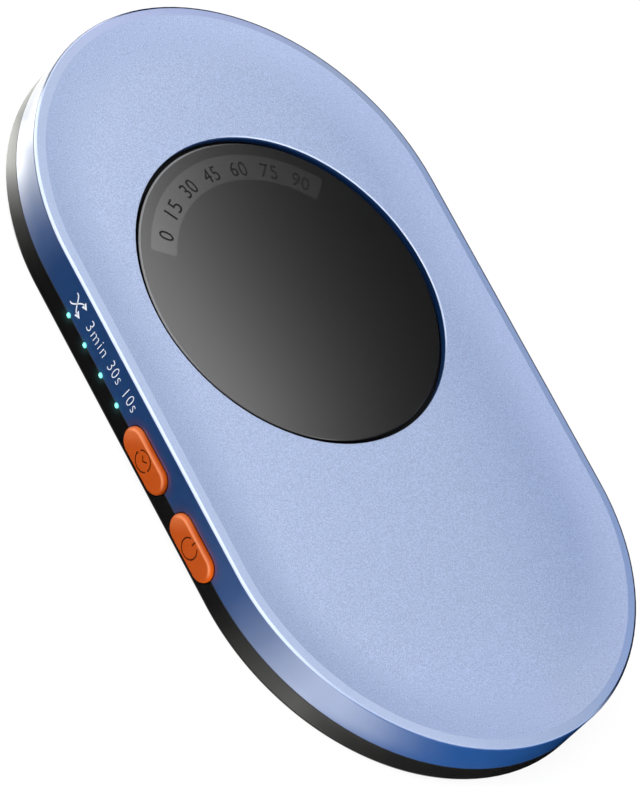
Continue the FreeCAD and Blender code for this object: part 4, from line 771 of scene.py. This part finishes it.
# %% [markdown]
# ## Signal lamps
# A clear bar behind the wall carries the light of four small diodes to round windows. Each window ends in a
# low dome, brightest in its middle, where the light comes straight through.

# %% Lamp lenses
lens_glow, add, place = new_finish("lit_cyan_lens")
core = lamp_light(add, place, 0.5)
surface = add("BsdfPrincipled", {
    "Base Color": add("Mix", {0: core, 6: "3FA8A2", 7: "A4F6EC"}, **RGBA),
    "Roughness": add("MapRange", mask(core, 0, 1, 0.35, 0.15)),
    "Emission Color": "6FF2E6", "Emission Strength": add("MapRange", mask(core, 0.22, 0.7, 0.35, 0.92)),
})
add("OutputMaterial", {"Surface": surface})
dress(lens_glow, "light_pipe")
dome_profile = [(0.08, 0.15), (0.25, 0.13), (0.4, 0.08), (0.49, 0.0), (0.49, -0.3)]
dome = loft("lamp_dome", [circle(radius, height) for radius, height in dome_profile])
dome.transform(Matrix.Rotation(-math.pi / 2, 4, "Y"))
start = Vector((-HALF_WIDTH, LAMP_FIRST, LAMP_HEIGHT))
row = {"Count": LAMP_COUNT, "Start": start, "Step": Vector((0, LAMP_STEP, 0))}
lenses = laid_out("lamp_lenses", in_a_row, dome, lens_glow, **row)
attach(lenses, "case")

# %% [markdown]
# ## Printed words and signs
# White print on the left wall names each lamp's mode: crossed arrows for changing intervals, then the
# interval itself. Ink has next to no thickness, so each sign is a plate 0.02 mm thick. Signs are drawn
# flat, with X along the line of print and Y up, and a matrix then stands them on the wall.

# %% Flat plates and lettering
INK = 0.02 * MM


def plates(name, outlines):
    """Thin plates in the XY plane from closed outlines in millimetres."""
    shape = bmesh.new()
    for outline in outlines:
        close_skin(shape, [[shape.verts.new((x * MM, y * MM, z)) for x, y in outline] for z in (0.0, INK)])
    return finished_mesh(name, shape)


def words(text, width_mm, height_mm, spacing, thinning=0.0):
    """Lettering in the XY plane, fitted to a size, from its lower left corner."""
    letters = bpy.data.curves.new(text, "FONT")
    letters.body = text
    letters.extrude = 0.5
    letters.space_character = spacing
    letters.offset = -thinning
    carrier = placed(text, letters)
    graph = bpy.context.evaluated_depsgraph_get()
    mesh = bpy.data.meshes.new_from_object(carrier.evaluated_get(graph))
    bpy.data.objects.remove(carrier)
    low, high = ([pick(v.co[axis] for v in mesh.vertices) for axis in range(3)] for pick in (min, max))
    sizes = (width_mm * MM, height_mm * MM, INK)
    fit = Matrix.Diagonal([size / (h - l) for size, l, h in zip(sizes, low, high)]).to_4x4()
    mesh.transform(fit @ Matrix.Translation(-Vector(low)))
    return mesh


print("ink in mm:", INK / MM)

# %% Joining and strokes
def joined(name, meshes, material):
    """One piece from several meshes."""
    shape = bmesh.new()
    for mesh in meshes:
        shape.from_mesh(mesh)
    whole = bpy.data.meshes.new(name)
    shape.to_mesh(whole)
    shape.free()
    whole.materials.append(material)
    return placed(name, whole)


def stroke(points, width):
    """Outline of a line of a width through points."""
    left, right = [], []
    for index, (x, y) in enumerate(points):
        before, after = points[max(index - 1, 0)], points[min(index + 1, len(points) - 1)]
        run = Vector((after[0] - before[0], after[1] - before[1])).normalized() * width / 2
        left.append((x - run.y, y + run.x))
        right.append((x + run.y, y - run.x))
    return left + right[::-1]


ARROW_RISE, ARROW_RUN, ARROW_STEPS = 2.5, 2.7, 16


def crossing(rise):
    """Arrow of the crossed pair that rises, or falls if rise is negative."""
    line = []
    for index in range(ARROW_STEPS + 1):
        along = index / ARROW_STEPS
        share = min(max((along - 0.1) / 0.8, 0), 1)
        line.append((ARROW_RUN * along, rise * (share * share * (3 - 2 * share) - 0.5)))
    tip = rise / 2
    return [stroke(line, 0.24), [(2.4, tip - 0.72), (3.5, tip), (2.4, tip + 0.72)]]


print("points in an arrow:", sum(len(outline) for outline in crossing(ARROW_RISE)))

# %% Wall signs
WORD_HEIGHT = 2.35
WORD_BASE = 6.42


def on_left_wall(start_y, base_z):
    """Stands a flat sign on the left wall, reading towards the buttons."""
    axes = Matrix(((0, 0, -1), (-1, 0, 0), (0, 1, 0))).to_4x4()
    return Matrix.Translation((-HALF_WIDTH, start_y * MM, base_z * MM)) @ axes


signs = []
for text, start_y, width in (("3min", 18.9, 6.0), ("30s", 11.2, 3.6), ("10s", 5.5, 3.3)):
    sign = words(text, width, WORD_HEIGHT, spacing=1.16, thinning=0.020)
    sign.transform(on_left_wall(start_y, WORD_BASE))
    signs.append(sign)
arrows = plates("crossed_arrows", crossing(ARROW_RISE) + crossing(-ARROW_RISE))
arrows.transform(on_left_wall(24.3, 7.35))
wall_signs = joined("lamp_signs", [*signs, arrows], ink_white)
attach(wall_signs, "case")
print("sign faces:", len(wall_signs.data.polygons))

# %% [markdown]
# ## The turntable
# The disc is black acrylic, polished, so that it mirrors the fading card overhead. A grey lacquer band is
# let into it near the rim, printed with a scale of degrees, so that the turn can be seen.

# %% Disc and band finishes
def silky(name, pale, deep, roughness, shine=0.5):
    """Smooth plastic with very fine grain, and a painted highlight on the rounded edge on one side."""
    material, add, place = new_finish(name)
    fine = add("TexNoise", grain(place, 0.25, 2.0))
    radius, spoke = round_disc(add, place)
    # painted highlight: the disc's rounded edge is painted light grey on its upper left side
    facing = add("VectorMath", {0: spoke, 1: (-0.82, 0.57, 0.0)}, **DOT)
    side = add("MapRange", mask(facing, 0.3, 0.9), **SMOOTH)
    height = add("SeparateXYZ", {0: place}).outputs["Z"]
    top = add("MapRange", mask(height, disc_high.z - 0.14 * MM, disc_high.z - 0.06 * MM))
    low_edge = add("MapRange", mask(radius, DISC_RADIUS - 0.44 * MM, DISC_RADIUS - 0.36 * MM, 0.0, top))
    rim_highlight = add("Math", {0: side, 1: low_edge}, **TIMES)
    skin = add("Mix", {0: fine, 6: deep, 7: pale}, **RGBA)
    surface = add("BsdfPrincipled", {
        "Base Color": add("Mix", {0: rim_highlight, 6: skin, 7: "68686A"}, **RGBA),
        "Roughness": add("MapRange", mask(fine, 0.2, 0.8, roughness * 0.92, roughness * 1.08)),
        "Specular IOR Level": shine,
        "Normal": add("Bump", {"Height": fine, "Distance": 0.0006 * MM}),
    })
    add("OutputMaterial", {"Surface": surface})
    return material


dress(silky("black_polished_acrylic", "0E0E0E", "090909", 0.15), "turntable_disc")
dress(silky("grey_scale_lacquer", "1F1F1F", "1C1C1C", 0.15, shine=0.7), "scale_inlay")
print("disc radius in mm:", round(DISC_RADIUS / MM, 2))

# %% Scale numbers
SCALE_MIDDLE = math.radians(98.5)
SCALE_HALF = math.radians(45)
SCALE_STEPS, STEP_DEGREES = 6, 15
NUMBER_HEIGHT = 2.8
NUMBER_FOOT = 22.75

figures = []
for index in range(SCALE_STEPS + 1):
    text = str(STEP_DEGREES * index)
    width = 1.7 * len(text)
    figure = words(text, width, NUMBER_HEIGHT, spacing=1.1)
    turn = SCALE_MIDDLE + SCALE_HALF - 2 * SCALE_HALF * index / SCALE_STEPS
    stand = Matrix.Translation((-width / 2 * MM, NUMBER_FOOT * MM, 0))
    figure.transform(Matrix.Translation(DISC_CENTRE) @ Matrix.Rotation(turn - math.pi / 2, 4, "Z") @ stand)
    figures.append(figure)
numbers = joined("scale_numbers", figures, ink_dark)
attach(numbers, "turntable")
print("number faces:", len(numbers.data.polygons))

# %% [markdown]
# ## Buttons
# The two keys are orange moulded plastic with a fine matt skin. Their signs are engraved and filled with
# darker paint. The paint is told from the skin by its depth under the face, near the middle of each key.
# Each face is painted lighter towards its top and along its upper edge, as painted highlights, and near
# black at its root in the wall, as painted shade.

# %% Button finish
def key_finish(node):
    """Orange plastic with a dark engraved sign in the middle of its face."""
    material, add, place = new_finish("orange_" + node)
    low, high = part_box(node)
    parts = add("SeparateXYZ", {0: place}).outputs
    deep = add("MapRange", mask(parts["X"], low.x + 0.05 * MM, low.x + 0.08 * MM), **SMOOTH)
    shallow = add("MapRange", mask(parts["X"], low.x + 0.3 * MM, low.x + 0.2 * MM), **SMOOTH)
    flat = add("VectorMath", {0: place, 1: (0, 1, 1)}, **TIMES)
    middle = (0, (low.y + high.y) / 2, (low.z + high.z) / 2)
    away = add("VectorMath", {0: flat, 1: middle}, operation="DISTANCE")
    near = add("MapRange", mask(away, 2.2 * MM, 2.12 * MM), **SMOOTH)
    inside = add("Math", {0: deep, 1: near}, **TIMES)
    painted = add("Math", {0: inside, 1: shallow}, **TIMES)
    soft = add("TexNoise", grain(place, 0.25, 3.0))
    orange = add("Mix", {0: soft, 6: "AE4602", 7: "B84B04"}, **RGBA)
    # painted highlight: the face is painted lighter towards its upper end
    up = add("VectorMath", {0: place, 1: (0, 0.84, 0.54)}, **DOT)
    top = 0.84 * high.y + 0.54 * high.z
    lit = add("MapRange", mask(up, top - 5.5 * MM, top - 1.6 * MM, 0.0, 0.36), **SMOOTH)
    top_highlighted = add("Mix", {0: lit, 6: orange, 7: "F08A54"}, **RGBA)
    rise = add("Math", {0: key_distance(add, parts), 1: 0.45 * MM}, operation="ADD")
    off_line = add("Math", {0: rise}, operation="ABSOLUTE")
    # painted highlight: a pale line along the upper edge
    high_side = add("MapRange", mask(parts["Z"], middle[2], high.z - 0.9 * MM, 0.0, 0.5), **SMOOTH)
    edge_highlight_line = add("MapRange", mask(off_line, 0.4 * MM, 0.0, 0.0, high_side), **SMOOTH)
    edge_highlighted = add("Mix", {0: edge_highlight_line, 6: top_highlighted, 7: "FFA878"}, **RGBA)
    # painted shade: the key is painted near black at its root, deep in the wall's slot
    root_shade = add("MapRange", mask(parts["X"], low.x + 0.72 * MM, low.x + 0.95 * MM))
    skin = add("Mix", {0: root_shade, 6: edge_highlighted, 7: "200B02"}, **RGBA)
    fine = add("TexNoise", grain(place, 0.12, 2.0))
    surface = add("BsdfPrincipled", {
        "Base Color": add("Mix", {0: painted, 6: skin, 7: "5A260C"}, **RGBA),
        "Roughness": add("MapRange", mask(soft, 0.2, 0.8, 0.36, 0.44)), "Specular IOR Level": 0.15,
        "Normal": add("Bump", {"Height": fine, "Distance": 0.003 * MM}),
    })
    add("OutputMaterial", {"Surface": surface})
    dress(material, node)
    print("dressed", node, "with", material.name)


for node in KEYS:
    key_finish(node)

# %% [markdown]
# ## The power inlet
# A drawn steel tube with round ends holds a black tongue with twelve gilt contacts on each face.

# %% Contact outline
CONTACT_LENGTH, CONTACT_WIDTH, END_STEPS = 3.0, 0.28, 4

contact_outline = []  # a bar with round ends, lying along X
for side, start in ((1, -math.pi / 2), (-1, math.pi / 2)):
    for index in range(END_STEPS + 1):
        turn = start + math.pi * index / END_STEPS
        x = side * (CONTACT_LENGTH - CONTACT_WIDTH) / 2 + CONTACT_WIDTH / 2 * math.cos(turn)
        contact_outline.append((x, CONTACT_WIDTH / 2 * math.sin(turn)))
print("points round a contact:", len(contact_outline))

# %% Inlet
CONTACT_COUNT, CONTACT_PITCH = 12, 0.5 * MM
TONGUE_HALF = 0.35 * MM

# Drawn steel mirrors softly, the tongue is plain moulded plastic, and thin gold plating gives a warm mirror.
dress(mottled("drawn_inlet_steel", "B4B6B8", "A0A3A6", 0.5, 0.25, 1.0), "usb_socket_shell")
dress(mottled("inlet_black_plastic", "1B1B1C", "131314", 0.3, 0.5), "usb_socket_tongue")
gilt = mottled("gilt_contact", "D9B45A", "C79E42", 0.2, 0.25, 1.0)
inlet_low, inlet_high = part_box("usb_socket_tongue")
tongue_middle = (inlet_low.z + inlet_high.z) / 2
for name, face in (("upper_contacts", TONGUE_HALF), ("lower_contacts", -TONGUE_HALF - INK)):
    contact = plates(name, [contact_outline])
    contact.transform(Matrix.Rotation(math.pi / 2, 4, "Z"))
    start = Vector((-CONTACT_PITCH * (CONTACT_COUNT - 1) / 2, inlet_high.y - 1.9 * MM, tongue_middle + face))
    row = {"Count": CONTACT_COUNT, "Start": start, "Step": Vector((CONTACT_PITCH, 0, 0))}
    contacts = laid_out(name, in_a_row, contact, gilt, **row)
    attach(contacts, "case")

# %% [markdown]
# ## Inside the case
# The works are hidden once the case is closed, but they have finishes too: nylon gears, brass bushes,
# ground steel pins, a drawn motor can with a copper coil, and green boards with their parts.

# %% Metal works
# Ground steel and turned brass have clean bright glints, drawn steel a softer one. Ferrite is dull and dark.
steel = mottled("ground_steel", "C2C4C6", "AEB1B4", 0.4, 0.25, 1.0)
brass = mottled("turned_brass", "CFA955", "B99343", 0.5, 0.3, 1.0)
dress(steel, "turntable_spindle", "idler_pin", "motor_shaft", "spindle_washer", "idler_clip")
dress(brass, "turntable_bush", "motor_bushings", "motor_pinion")
dress(zinc, "spindle_screw", "motor_screws", "board_screws", "usb_board_screws")
dress(mottled("drawn_motor_steel", "A2A5A8", "8C9094", 1.2, 0.35, 1.0), "motor_can", "motor_end_plate")
dress(mottled("ferrite_magnet", "2C2D30", "222326", 0.8, 0.55), "motor_rotor")
print("metal works dressed")

# %% Copper winding
# Enamelled wire lies in fine round ridges with a warm shine.
winding, add, place = new_finish("copper_winding")
local = add("Mapping", {"Vector": place, "Location": (0, 25.7 * MM, 0)})
wires = add("TexWave", {"Vector": local, "Scale": 0.3 / MM}, wave_type="RINGS", rings_direction="Z")
wires = wires.outputs["Fac"]
surface = add("BsdfPrincipled", {
    "Base Color": add("Mix", {0: wires, 6: "7A3D18", 7: "C97B42"}, **RGBA),
    "Roughness": add("MapRange", mask(wires, 0, 1, 0.4, 0.28)), "Metallic": 1.0,
    "Normal": add("Bump", {"Height": wires, "Distance": 0.06 * MM}),
})
add("OutputMaterial", {"Surface": surface})
dress(winding, "motor_coil")
print("winding nodes:", len(winding.node_tree.nodes))

# %% Plastic works
# Moulded nylon is milky. The carrier is dull black, so that the gap round the disc stays dark.
nylon = mottled("natural_nylon", "E9E4D6", "DDD7C6", 0.8, 0.45)
dress(nylon, "turntable_gear", "compound_gear", "power_lead_socket", "motor_lead_socket", "usb_lead_socket")
dress(mottled("black_carrier_plastic", "0C0C0D", "080809", 0.5, 0.6, shine=0.1), "turntable_carrier")
dress(mottled("washer_plastic", "D8D8D2", "C9C9C2", 0.5, 0.5), "thrust_washer")
dark_plastic = mottled("terminal_plastic", "2A2B2C", "202122", 0.4, 0.5)
dress(dark_plastic, "motor_terminals", "timer_switch_body", "power_switch_body")
dress(mottled("switch_stem_plastic", "CFCFCB", "BDBDB8", 0.4, 0.45), "timer_switch_stem", "power_switch_stem")
dress(mottled("lead_jacket", "1C1C1D", "141415", 0.5, 0.5), "power_lead", "motor_lead")
print("plastic works dressed")

# %% Boards and their parts
# A green mask over copper tracks shows them as slightly raised, deeper lines under a gloss.
board, add, place = new_finish("green_circuit_board")
grid = {"Vector": place, "Scale": 0.35 / MM}
cells = add("TexVoronoi", grid, feature="DISTANCE_TO_EDGE", distance="MANHATTAN")
tracks = add("MapRange", mask(cells.outputs["Distance"], 0.04, 0.07), **SMOOTH)
surface = add("BsdfPrincipled", {
    "Base Color": add("Mix", {0: tracks, 6: "3C8A55", 7: "1C5534"}, **RGBA),
    "Roughness": 0.35, "Normal": add("Bump", {"Height": tracks, "Distance": 0.02 * MM}),
})
add("OutputMaterial", {"Surface": surface})
dress(board, "main_board", "usb_board")
dress(mottled("chip_resin", "242526", "1B1C1D", 0.3, 0.6), "controller_chip", "driver_chip")
dress(mottled("capacitor_ceramic", "B59B7A", "A58B6A", 0.4, 0.5), "board_capacitors")
dress(mottled("diode_body", "F1EFE4", "E2E0D4", 0.4, 0.4), "indicator_leds")
print("boards dressed")

# %% Every solid has its finish
bare = []
for name, node in nodes.items():
    if not any(m and len(m.node_tree.nodes) > 3 for m in node.data.materials):
        bare.append(name)
print("solids without a patterned finish:", bare)
